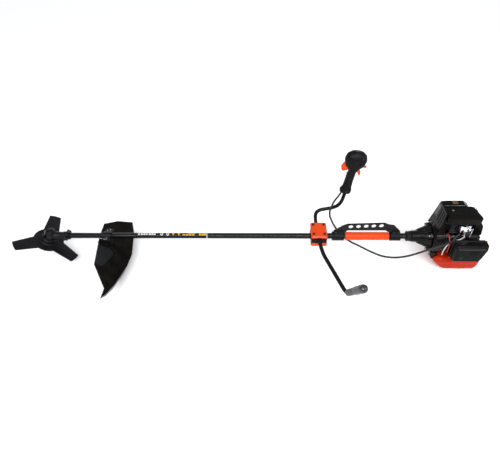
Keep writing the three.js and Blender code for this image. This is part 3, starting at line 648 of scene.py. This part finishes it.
def add_gear_head():
    refined("gear_case", PAINTED, (1.6, 3), smooth=28)
    refined("pinion", STEEL, (0.1, 1))
    refined("crown_gear", STEEL, (0.1, 1))
    refined("output_shaft", STEEL, (0.4, 2))
    holder = turned("holder_skin", [
        (5.3, -22.6), (25, -22.6), (26.5, -23.2), (27.5, -24.6), (28.5, -24.8), (29.3, -24),
        (30.1, -24.8), (31.5, -25.2), (32.6, -24.7), (33.4, -25.4), (34.2, -26.6), (35.4, -26.8),
        (36.2, -26.2), (37, -26.4), (38, -27.6), (38, -30.2), (37.4, -31), (5.3, -31), (5.3, -22.6),
    ], HEAD, 72)
    piece(holder, BLADE, "blade_spindle", smooth=25, replaces=("blade_holder",))
    washer = turned("washer_skin", [
        (5.3, -33.6), (26.2, -33.6), (27, -34.2), (27, -36.2), (26.2, -36.8), (5.3, -36.8), (5.3, -33.6),
    ], HEAD, 64)
    piece(washer, STEEL, "blade_spindle", smooth=25, replaces=("clamp_washer",))
    cup = turned("cup_skin", [
        (5.3, -37.1), (24, -37.1), (27.5, -38.4), (31, -42), (32.6, -45), (33, -46.6), (32.2, -48),
        (30, -49.4), (26, -50), (20.4, -50.1), (20, -49.6), (20.4, -48.4), (24, -48.2), (27.4, -47.2),
        (28.5, -46), (27, -42.6), (23, -39.7), (5.3, -39.6), (5.3, -37.1),
    ], HEAD, 72)
    piece(cup, STEEL, "blade_spindle", smooth=25, replaces=("stabiliser_cap",))
    refined("blade_nut", STEEL, (0.6, 2))
    cap = turned("case_plug", [
        (0, 33), (9, 33), (11.5, 32.4), (13, 31), (13.4, 29.6), (12, 29.4), (0, 29.4),
    ], HEAD, 40)
    piece(cap, PAINTED, smooth=25)
    for index, angle in enumerate((40, 160, 280)):
        turn = Matrix.Rotation(math.radians(angle), 4, "Z") @ Matrix.Translation((19, 0, 27.3))
        socket_screw(f"case_screw_{index + 1}", HEAD @ turn, 2.4, 2.4, DARK_STEEL)
    for side in (-1, 1):
        place = SHAFT @ Matrix.Translation((HEAD_X + 78.5, side * 22, 6.6))
        socket_screw(f"socket_screw_{'left' if side < 0 else 'right'}", place, 4.4, 5.0, DARK_STEEL)


# ---------------------------------------------------------------- guard

GUARD_OUTLINE = [
    (-35, 73), (-29, -18), (-7, -152), (63.5, -247), (64, -293), (81, -265),
    (98, -215), (120, -107), (123, -36), (101, 85), (78, 143), (16, 118),
]
ROOF = -20.0  # the guard roof's top face, along the blade axis
FACET_OUTLINE = [(-23, -47), (27, -49), (44, -61), (49, -79), (25, -149), (-5, -149)]


def add_guard():
    """The guard's shell with its rolled rim, a flat raised panel in a paler black of painted light, and the
    ribs round it.
    """
    refined("guard", GUARD_SHELL, (1.4, 3), smooth=28)
    refined("guard_clamp", BLACK, (1.0, 2))
    refined("guard_bracket", PAINTED, (1.0, 3))
    # The raised panel takes a paler black as painted light.
    panel = prism("guard_panel", FACET_OUTLINE, ROOF - 0.6, ROOF + 1.6, GUARD)
    piece(panel, LIT_FACET, bevel=(1.2, 3))
    # The panel's grooves are dark lines of painted shade.
    for index, (start, stop) in enumerate((((2, -70), (-12, -104)), ((-7, -108), (14, -116)))):
        name = f"panel_groove_{index + 1}"
        route = [(*start, ROOF + 1.3), (*stop, ROOF + 1.3)]
        piece(sweep(name, route, 0.7, 6, 10, GUARD), SHADOW_GAP)
    ribs = {
        "panel_rib": ([(-29, -37), (-5, -35), (22, -36), (42, -43), (55, -58), (60, -82)], 2.4),
        "rear_rib_1": ([(47, 50), (46, 80), (45, 122)], 1.5),
        "rear_rib_2": ([(57, 48), (56, 80), (55, 127)], 1.5),
        "shaft_rib": ([(22, 44), (60, 44), (106, 46)], 1.6),
        "long_rib": ([(96, -30), (92, -90), (76, -170), (66, -225)], 1.6),
    }
    for name, (route, radius) in ribs.items():
        rib = sweep(name, [(x, y, ROOF) for x, y in route], radius, 24, 12, GUARD)
        piece(rib, GUARD_SHELL)
    rim_route = [GUARD_OUTLINE[k] for k in (0, 11, 10, 9, 8, 7, 6, 5)]
    for index, (start, stop) in enumerate(zip(rim_route, rim_route[1:])):
        name = f"guard_rim_{index + 1}"
        inner = [(x * 0.985, y * 0.99, ROOF - 0.4) for x, y in (start, stop)]
        piece(sweep(name, inner, 2.2, 8, 12, GUARD), GUARD_SHELL)
    for name, y in (("bracket_bolt_left", -26), ("bracket_bolt_right", 26)):
        place = SHAFT @ Matrix.Translation((GUARD_X - 1, y, 8))
        washer = turned(name + "_washer", [(0, 0), (8, 0), (8.4, 0.5), (8, 1.2), (0, 1.2)], place, 32)
        piece(washer, STEEL, smooth=30)
        socket_screw(name, place @ Matrix.Translation((0, 0, 1.2)), 5.0, 4.6, DARK_STEEL)


# ---------------------------------------------------------------- handlebars

LEFT_BAR = [
    (287, -3, 24), (287, -48, 24), (290, -85, 24), (298, -128, 23), (313, -170, 21), (334, -220, 14),
    (354, -265, 5), (365, -290, 3), (376, -306, 14), (393, -325, 46), (405, -339, 72),
]
RIGHT_BAR = [
    (279, 3, 24), (279, 50, 24), (279, 82, 25), (281, 102, 29), (287, 114, 33), (302, 122, 38),
    (327, 126, 41), (354, 128, 46), (376, 127, 60), (388, 125, 84), (393.5, 122, 112), (397, 119.4, 142),
    (401.2, 121.7, 168.7), (405.5, 124, 195),
]


def add_handlebars():
    for side, route, steps in (("left", LEFT_BAR, 90), ("right", RIGHT_BAR, 110)):
        mesh = sweep(f"bar_{side}", route, BAR_RADIUS, steps, 28)
        piece(mesh, GLOSS, replaces=(f"handlebar_{side}",))


def add_clamp():
    refined("clamp_base", ORANGE, (5.0, 5))
    refined("clamp_middle", BLACK, (1.5, 2))
    refined("clamp_cap", ORANGE, (6.0, 6))
    spots = [(x, y) for x in (CLAMP_X - 22, CLAMP_X + 22) for y in (-28, 28)]
    for index, (x, y) in enumerate(spots):
        node = f"clamp_screw_{index + 1}"
        screw = turned(node + "_look", [
            (0, -17), (3, -17), (3, 38.3), (5.1, 38.3), (5.5, 38.8), (5.5, 41.4), (5, 42), (3.1, 42),
            (2.8, 41.6), (2.8, 39.6), (0, 39.6),
        ], SHAFT @ Matrix.Translation((x, y, 0)), 32)
        piece(screw, DARK_STEEL, smooth=35, replaces=(node,))


def add_left_grip():
    """A narrow neck over the bar's end, then the thick, domed outer half."""
    turn = Vector((0, 0, 1)).rotation_difference(Vector((29, -33, 61))).to_matrix().to_4x4()
    place = SHAFT @ Matrix.Translation((372, -301, 7)) @ turn
    neck = turned("grip_neck", [
        (9, 0), (11, 0), (12.6, 1), (13.4, 6), (13.7, 20), (14, 40), (14, 52), (12, 53), (9, 53), (9, 0),
    ], place, 40)
    piece(neck, BROWN_GRIP, smooth=35)
    end = turned("grip_end", [
        (0, 53.4), (14.4, 53.4), (16, 54.6), (16.5, 58), (16.2, 66), (16.5, 74), (16.5, 94), (16, 101),
        (14.6, 106), (11.5, 109.6), (7, 111.4), (0, 112),
    ], place, 48)
    piece(end, GREY_GRIP, smooth=35, replaces=("left_grip",))


# ---------------------------------------------------------------- throttle handle

def add_throttle_handle():
    """The two half shells with their screws, thumb ribs, an oval side recess and top bumps."""
    for side in ("left", "right"):
        refined(f"throttle_housing_{side}", BLACK, (0.8, 3), smooth=50)
    refined("trigger", ORANGE, (1.6, 4))
    refined("lockout_lever", ORANGE, (1.4, 4))
    refined("stop_switch", RED, (0.8, 2))
    radius = 17.2  # of the grip
    for index, z in enumerate((30, 42, 54, 66, 78)):
        ring = turned(f"grip_rib_{index + 1}", [
            (radius - 1.6, z - 2.4), (radius + 0.2, z - 1.4), (radius + 0.7, z), (radius + 0.2, z + 1.4),
            (radius - 1.6, z + 2.4), (radius - 1.6, z - 2.4),
        ], HANDLE @ Matrix.Diagonal((1.02, 0.96, 1, 1)), 48)
        piece(ring, BLACK, smooth=50)
    for name, x, z, radius in (("head_bump_front", -12, 176, 8), ("head_bump_rear", 18, 176, 7)):
        bump = turned(name, [
            (0, 6), (radius * 0.6, 5.4), (radius * 0.9, 3.4), (radius, 0), (radius, -9), (0, -9),
        ], HANDLE @ Matrix.Translation((x, 0, z)), 32)
        piece(bump, BLACK, smooth=50)
    face = HANDLE @ Matrix.Translation((4, -22.5, 146)) @ Matrix.Rotation(math.radians(90), 4, "X")
    rim = turned("head_recess_rim", [
        (15, -4), (18.5, -4), (18.5, 3.2), (17.8, 4.4), (16, 4.4), (15, 3.2), (15, -4),
    ], face @ Matrix.Diagonal((1, 0.62, 1, 1)), 48)
    piece(rim, BLACK, smooth=40)
    floor = turned("head_recess_floor", [(0, -4), (15.2, -4), (15.2, 2.6), (0, 3.2)],
                   face @ Matrix.Diagonal((1, 0.62, 1, 1)), 48)
    piece(floor, SHELL, smooth=40)
    screws = ((0, -15.6, 64, 2.4), (22, -23, 160, 2.0), (-1, -19.6, 4, 2.4))
    for index, (x, y, z, depth) in enumerate(screws):
        seat = HANDLE @ Matrix.Translation((x, y, z)) @ Matrix.Rotation(math.radians(90), 4, "X")
        socket_screw(f"handle_screw_{index + 1}", seat, 3.4, depth, DARK_STEEL)


# ---------------------------------------------------------------- harness rail


def add_rail():
    refined("hanger_rail", PAINTED, (0.6, 2), smooth=30)
    refined("rail_clamp_front", BLACK, (1.2, 3))
    refined("rail_clamp_rear", BLACK, (1.2, 3))
    for index, x in enumerate((356, 380, 591, 611)):
        for side in (-1, 1):
            turn = Matrix.Rotation(math.radians(90 * -side), 4, "X")
            place = SHAFT @ Matrix.Translation((x, side * 7, 24.5)) @ turn
            name = f"rail_screw_{index + 1}_{'left' if side < 0 else 'right'}"
            if side < 0:
                socket_screw(name, place, 4.0, 3.6, DARK_STEEL)
            else:
                nut = turned(name, [(0, 0), (4.6, 0), (4.8, 0.4), (4.8, 3), (4.2, 3.4), (0, 3.4)], place, 6)
                piece(nut, DARK_STEEL, smooth=20, bevel=(0.3, 2))


# ---------------------------------------------------------------- engine


BELL_EARS = 50.5  # radius of the clutch case's screws
RECOIL_SCREWS = 55  # radius of the recoil housing's screws
COVER_FRONT = Vector((743, 0, 27))  # the foot of the top cover's front slope
COVER_LEAN = (15, 0, 130)  # the slope's run back and its rise
COVER_TOP = 157
SHROUD_TOP = 150
CLEANER_FACE = -126  # the air cleaner lid's outer face, along Y
MUFFLER_FACE = 95.6
CARBURETTOR = (853, -57, 0)  # the axis of the throttle barrel
FILLER = (826, -61, 0)  # the axis of the fuel filler


def ring_of(radius, angles):
    """Points (y, z) round the crankshaft axis, at angles in degrees."""
    return [(radius * math.cos(math.radians(a)), radius * math.sin(math.radians(a))) for a in angles]


def add_engine():
    add_clutch_and_fan()
    add_block()
    add_covers()
    add_recoil_starter()
    add_carburettor()
    add_air_cleaner()
    add_muffler()
    add_fuel_tank()


def add_clutch_and_fan():
    """The clutch bell with its ears bolted to the fan housing, and the parts inside both."""
    refined("clutch_case", SHELL, (1.2, 3))
    refined("clutch_drum", STEEL, (0.4, 1))
    refined("clutch_shoes", BLADE, (0.6, 1))
    refined("crankshaft", STEEL, (0.5, 1))
    refined("flywheel", ALLOY, (0.5, 1))
    refined("fan_housing", SHELL, (2.0, 3))
    for index, (y, z) in enumerate(ring_of(BELL_EARS, (45, 135, 225, 315))):
        socket_screw(f"bell_screw_{index + 1}", facing(726, y, z, *FORWARD), 4.2, 4.4, STEEL)
    for index, x in enumerate((668, 673, 678)):
        ridge = turned(f"bell_ridge_{index + 1}", [
            (21.5, x - 1.2), (23.4 + index * 0.6, x - 0.8), (23.4 + index * 0.6, x + 0.8), (21.5, x + 1.2),
            (21.5, x - 1.2),
        ], sides=56, axis="X")
        piece(ridge, SHELL, smooth=35)
    for index in range(8):
        angle = math.radians(22.5 + index * 45)
        route = [
            (690 + 46 * t, (28 + 20 * t) * math.cos(angle), (28 + 20 * t) * math.sin(angle))
            for t in (0, 0.5, 0.98)
        ]
        rib = sweep(f"bell_rib_{index + 1}", route, lambda share: 1.6 + 0.8 * share, 10, 10)
        piece(rib, SHELL)
    for index in range(14):
        angle = math.radians(200 + index * 360 / 28)
        place = SHAFT @ Matrix.Rotation(angle, 4, "X") @ Matrix.Translation((758, 0, 65.6))
        # Dark slabs of painted shade stand in for the fan housing's slots.
        slot = block(f"fan_slot_{index + 1}", (-9, -2.2, -0.6), (9, 2.2, 0.5), place)
        piece(slot, SHADOW_GAP, bevel=(0.4, 2))


def add_block():
    """The crankcase, cylinder and plug cap, and the bracket that carries the fuel tank."""
    refined("crankcase", PAINTED, (2.0, 3))
    refined("cylinder", ALLOY, (0.5, 2))
    refined("plug_cap", RUBBER, (1.0, 2))
    bridge = prism("tank_bracket", [
        (741, -38), (743, -60), (752, -78), (764, -84), (776, -76), (776, -56), (762, -44),
    ], -54, 54, plane="XZ")
    piece(bridge, SHELL, bevel=(3, 4))
    for index, y in enumerate((-40, 0, 40)):
        socket_screw(f"bracket_stud_{index + 1}", facing(747, y, -66, "Y", -125), 3.6, 3.0, DARK_STEEL)


def add_covers():
    refined("top_cover", COVER, (7.0, 6), smooth=24)
    add_shroud_shell()
    add_front_slope()
    add_cover_top()
    add_shroud_wells()
    add_shroud_trim()


def add_shroud_shell():
    """The rear shroud's soft-edged moulding and the wall under its rear end."""
    shroud = prism("shroud_shell", [
        (764, 15), (868, 15), (878, 11), (892, -52), (888, -60), (878, -62), (772, -62), (764, -55),
    ], 118, SHROUD_TOP)
    piece(shroud, COVER, bevel=(6, 6), smooth=24, replaces=("rear_shroud",))
    wall = prism("rear_wall", [
        (866, 124), (892, 124), (901, 108), (907, 64), (872, 64),
    ], -61, -30, plane="XZ")
    piece(wall, COVER, bevel=(4, 4))


def add_front_slope():
    """Rows of worn pale marks and three upright ribs on the top cover's front slope."""
    run, _, rise = COVER_LEAN
    slope = Vector(COVER_LEAN).normalized()
    out = Vector((-rise, 0, run)).normalized()
    width, height = 4.6, 2
    for row in range(11):
        for column in range(3):
            at = COVER_FRONT + slope * (68 + row * 5.2)
            y = 19 + column * 8 + (row % 2) * 3
            corners = [
                at + Vector((0, y + dy, 0)) + slope * dz
                for dy, dz in ((0, 0), (width, 0), (width, height), (0, height))
            ]
            plate(f"grille_{row + 1}_{column + 1}", corners, out, 1.7, PALE_PRINT_AND_HIGHLIGHT, 0.2)
    for index, y in enumerate((-30, -14, 2)):
        corners = [
            COVER_FRONT + slope * along + Vector((0, y + dy, 0))
            for dy, along in ((0, 60), (4, 60), (4, 118), (0, 118))
        ]
        plate(f"front_rib_{index + 1}", corners, out, 1.6, COVER, 0.8)


def add_cover_top():
    """A faded plain label, a pale strip of painted highlight along the cover's edge and two screws on the
    top cover.
    """
    label = [(x, y, COVER_TOP) for x, y in ((799, 19), (819, 19), (819, 36), (799, 36))]
    plate("cover_label", label, (0, 0, 1), 0.4, FADED_INK, 0.15)
    # A painted highlight where the top cover's edge steps down to the shroud.
    edge_highlight = [(x, 15.6, z) for x, z in ((768, 150.6), (843, 150.6), (843, 152.4), (768, 152.4))]
    plate("cover_edge_highlight", edge_highlight, (0, -1, 0), 0.8, PALE_PRINT_AND_HIGHLIGHT, 0.2)
    for index, (x, y) in enumerate(((838, 34), (771, 34))):
        place = SHAFT @ Matrix.Translation((x, y, COVER_TOP - 0.2))
        socket_screw(f"cover_screw_{index + 1}", place, 4.2, 2.2, DARK_STEEL)


def add_shroud_wells():
    """A raised oval well with a screw, and an oval hole, on the rear shroud's top; the well's floor and the
    hole are dark discs of painted shade.
    """
    well = SHAFT @ Matrix.Translation((791, -12, SHROUD_TOP))
    rim = turned("shroud_well", [
        (7.5, -2), (12.4, -2), (12.4, 0.6), (11.6, 1.8), (8.6, 1.8), (7.5, 0.6), (7.5, -2),
    ], well @ Matrix.Diagonal((1.0, 1.25, 1, 1)), 48)
    piece(rim, COVER, smooth=35)
    floor = turned("shroud_well_floor", [(0, -2), (8, -2), (8, 0.3), (0, 0.5)],
                   well @ Matrix.Diagonal((1.0, 1.25, 1, 1)), 40)
    piece(floor, SHADOW_GAP, smooth=35)
    socket_screw("shroud_screw", well @ Matrix.Translation((0, 0, 0.4)), 4.0, 1.2, STEEL)
    mouth = SHAFT @ Matrix.Translation((835, -21, SHROUD_TOP)) @ Matrix.Diagonal((1.35, 1.1, 1, 1))
    hole = turned("shroud_hole", [(0, -2), (6, -2), (6, 0.25), (0, 0.4)], mouth, 40)
    piece(hole, SHADOW_GAP, smooth=35)


def add_shroud_trim():
    """Two beads along the rear shroud's edge and six vents at its rear, drawn as dark slabs of painted
    shade.
    """
    for index, y in enumerate((-47, -40)):
        name = f"shroud_bead_{index + 1}"
        route = [(772, y, SHROUD_TOP), (825, y, SHROUD_TOP + 0.1), (878, y, SHROUD_TOP)]
        piece(sweep(name, route, 1.3, 10, 10), COVER)
    for index in range(6):
        x = 850 + index * 6
        slot = block(f"shroud_vent_{index + 1}", (x, -24, SHROUD_TOP - 0.4), (x + 2.6, 8, SHROUD_TOP + 0.3))
        piece(slot, SHADOW_GAP, bevel=(0.2, 2))


def add_recoil_starter():
    """The recoil housing with its ring of vents in painted shade, centre boss and screws, and the pull
    handle.
    """
    refined("recoil_housing", BLACK, (3.0, 4))
    refined("starter_handle", ORANGE, (3.0, 4))
    boss = turned("recoil_boss", [
        (0, 919), (24, 919), (24, 921.6), (22.5, 923), (14, 923.2), (13, 922), (0, 922),
    ], sides=48, axis="X")
    piece(boss, BLACK, smooth=30)
    for index in range(12):
        angle = math.radians(15 + index * 30)
        place = SHAFT @ Matrix.Rotation(angle, 4, "X") @ Matrix.Translation((918.6, 0, 41))
        leaning = place @ Matrix.Rotation(-0.12, 4, "Y")
        slot = block(f"recoil_vent_{index + 1}", (-1, -2.4, -9), (1.0, 2.4, 9), leaning)
        piece(slot, SHADOW_GAP, bevel=(0.4, 2))
    for index, (y, z) in enumerate(ring_of(RECOIL_SCREWS, (50, 140, 230, 320))):
        socket_screw(f"recoil_screw_{index + 1}", facing(913, y, z, *BACKWARD), 3.6, 4.0, DARK_STEEL)


def add_carburettor():
    """The carburettor, lever, bulb and bands, with the intake barrel and arch before them."""
    refined("carburettor", CHROME, (1.0, 3))
    refined("throttle_lever", STEEL, (0.4, 1))
    refined("primer_bulb", RED, (0.8, 2))
    barrel = turned("choke_barrel", [
        (0, 66), (11.8, 66), (12.4, 67), (12.4, 106), (11.4, 109.4), (8, 111), (0, 111.4),
    ], SHAFT @ Matrix.Translation((832.4, -52, 0)), 48)
    piece(barrel, CHROME, smooth=35)
    half_turn = [math.radians(30 * step) for step in range(7)]
    arch = sweep("intake_arch", [
        (806 + 32 * (1 - math.cos(a)) * 0.62, -45 - 4 * math.sin(a), 82 + 34 * math.sin(a))
        for a in half_turn
    ], 2.6, 16, 12)
    piece(arch, SHELL)
    for index, z in enumerate((70, 76, 98)):
        band = turned(f"barrel_band_{index + 1}", [
            (14.3, z - 1.1), (15.3, z - 0.8), (15.3, z + 0.8), (14.3, z + 1.1), (14.3, z - 1.1),
        ], SHAFT @ Matrix.Translation(CARBURETTOR), 48)
        piece(band, DARK_STEEL, smooth=35)
    socket_screw("carburettor_screw", SHAFT @ Matrix.Translation((860, -50, 107.6)), 2.4, 1.8, STEEL)


def add_air_cleaner():
    """The air cleaner's rounded lid with its bead in painted highlight, its clip recess with a floor of
    painted shade, and its knob.
    """
    refined("air_cleaner_base", BLACK, (2.0, 3))
    refined("air_cleaner_cover", COVER, (6.0, 6), smooth=24)
    refined("choke_lever", ORANGE, (0.8, 2))
    route = [(808, -124.6, 49.6), (860, -124.9, 50.2), (909, -124.4, 50.4)]
    # The bead is coloured as a painted highlight along the lid's edge.
    bead = sweep("cleaner_bead", route, 1.6, 12, 12)
    piece(bead, EDGE_HIGHLIGHT_GREY)
    rim = [(x, CLEANER_FACE, z) for x, z in ((856, 17), (890, 17), (890, 38), (856, 38))]
    plate("cleaner_recess_rim", rim, (0, -1, 0), 1.0, COVER, 0.8)
    # The recess floor is a dark plate of painted shade.
    floor = [(x, CLEANER_FACE - 0.7, z) for x, z in ((859, 19.5), (887, 19.5), (887, 35.5), (859, 35.5))]
    plate("cleaner_recess", floor, (0, -1, 0), 0.5, SHADOW_GAP, 0.2)
    # The seam is a dark line of painted shade.
    groove = sweep("cleaner_seam", [(797.9, -108, -22), (797.9, -108, 20), (797.9, -108, 58)], 0.8, 8, 8)
    piece(groove, SHADOW_GAP)
    knob = turned("cleaner_knob", [(0, 0), (9, 0), (9.4, 1), (9, 2.2), (7.4, 3), (0, 3.2)],
                  facing(826, CLEANER_FACE + 0.4, 6, *LEFTWARD) @ Matrix.Diagonal((1, 1, 0.45, 1)), 24)
    piece(knob, BLACK, smooth=35)


def add_muffler():
    """The muffler with its corner screws and a grid of outlet holes, drawn as dark discs of painted shade.
    """
    refined("muffler", PAINTED, (2.0, 3))
    for index, (x, z) in enumerate(((808, 12), (852, 12), (808, 66), (852, 66))):
        socket_screw(f"muffler_screw_{index + 1}", facing(x, MUFFLER_FACE, z, *RIGHTWARD), 3.4, 3.4, STEEL)
    for row in range(5):
        for column in range(5):
            x, z = 814 + column * 8, 22 + row * 8.5
            hole = turned(f"muffler_hole_{row + 1}_{column + 1}", [(0, 0), (2.4, 0), (2.4, 0.3), (0, 0.35)],
                          facing(x, MUFFLER_FACE + 0.3, z, *RIGHTWARD), 16)
            piece(hole, SHADOW_GAP, smooth=35)


TANK_LEVELS = [  # height, front, back, half width, corner radius
    (-127, 815, 926, 56, 18), (-126.4, 808, 932, 62, 22), (-123.5, 800, 938, 68, 25),
    (-117, 789, 944, 73, 27), (-108, 780, 948, 75.4, 28), (-97, 770, 949.4, 76, 28),
    (-93, 766, 949.8, 76, 28), (-92, 765, 948.6, 75, 27), (-90, 764, 948.6, 75, 27),
    (-89, 763, 949.8, 76, 28), (-80, 759, 949.6, 76, 28), (-72, 760, 946, 74.6, 27),
    (-65, 764, 940, 71, 25), (-60.5, 770, 933, 66.5, 22), (-58.4, 777, 926, 61, 18),
    (-58, 783, 920, 56, 14),
]


def add_fuel_tank():
    """The blow-moulded tank in a darker orange of painted shade, with its weld seam, its filler neck and
    its knurled cap.
    """
    rings = [rounded_rectangle(x0, x1, half, radius, z) for z, x0, x1, half, radius in TANK_LEVELS]
    piece(ring_mesh("tank_shell", rings), SHADED_ORANGE, smooth=60, replaces=("fuel_tank",))
    neck = turned("filler_neck", [
        (9, -60), (14, -60), (13.6, -56), (13, -54), (13, -47), (12.4, -46), (9, -46), (9, -60),
    ], SHAFT @ Matrix.Translation(FILLER), 40)
    piece(neck, SHADED_ORANGE, smooth=35)
    refined("fuel_cap", BLACK, (1.2, 3))
    for index in range(20):
        turn = Matrix.Rotation(math.radians(index * 18), 4, "Z")
        rib = block(f"cap_rib_{index + 1}", (15.2, -1, -44.8), (16.6, 1, -36.8),
                    SHAFT @ Matrix.Translation(FILLER) @ turn)
        piece(rib, BLACK, "fuel_cap", bevel=(0.4, 2))


# ---------------------------------------------------------------- cable, fuel line and wire

THROTTLE_CABLE = [
    (380, 117, 138), (371, 114, 122), (356, 110, 98), (347, 105, 75), (340, 98, 53), (341, 90, 31),
    (346, 84, 19), (355, 72, 3), (371, 52, -14), (392, 32, -28), (410, 14, -33), (430, -5, -34),
    (454, -20, -36), (499, -50, -40), (544, -74, -42), (590, -84, -40), (636, -82, -35), (680, -84, -13),
    (718, -88, 15), (757, -88, 34), (784, -83, 44), (799, -76, 51), (809, -67, 61), (823, -60, 72),
]
FUEL_LINE = [
    (792, -52, -57), (790, -54, -40), (788, -62, -10), (792, -64, 12), (808, -60, 30), (834, -58, 38),
    (846, -62, 57),
]
STOP_WIRE = [
    (806, -43, -30), (800, -58, -34), (794, -75, -12), (792, -79, 18), (789, -74, 44), (787, -56, 60),
    (788, -40, 54), (788, -36, 43),
]


def add_lines():
    """The throttle cable's sheath, the fuel line and the stop wire."""
    steps = 260
    radius = 4.0
    cable = sweep("cable_sheath", THROTTLE_CABLE, radius, steps, 20)
    thing = piece(cable, CABLE, replaces=("throttle_cable",))
    piece(sweep("fuel_hose", FUEL_LINE, 2.5, 80, 16), CLEAR, replaces=("fuel_line",))
    piece(sweep("stop_lead", STOP_WIRE, 1.8, 90, 12), RED, replaces=("stop_wire",))


# ---------------------------------------------------------------- build

add_camera()
add_studio()
add_lines()
add_shaft()
add_labels()
add_gear_head()
add_blade()
add_guard()
add_handlebars()
add_clamp()
add_left_grip()
add_throttle_handle()
add_rail()
add_engine()
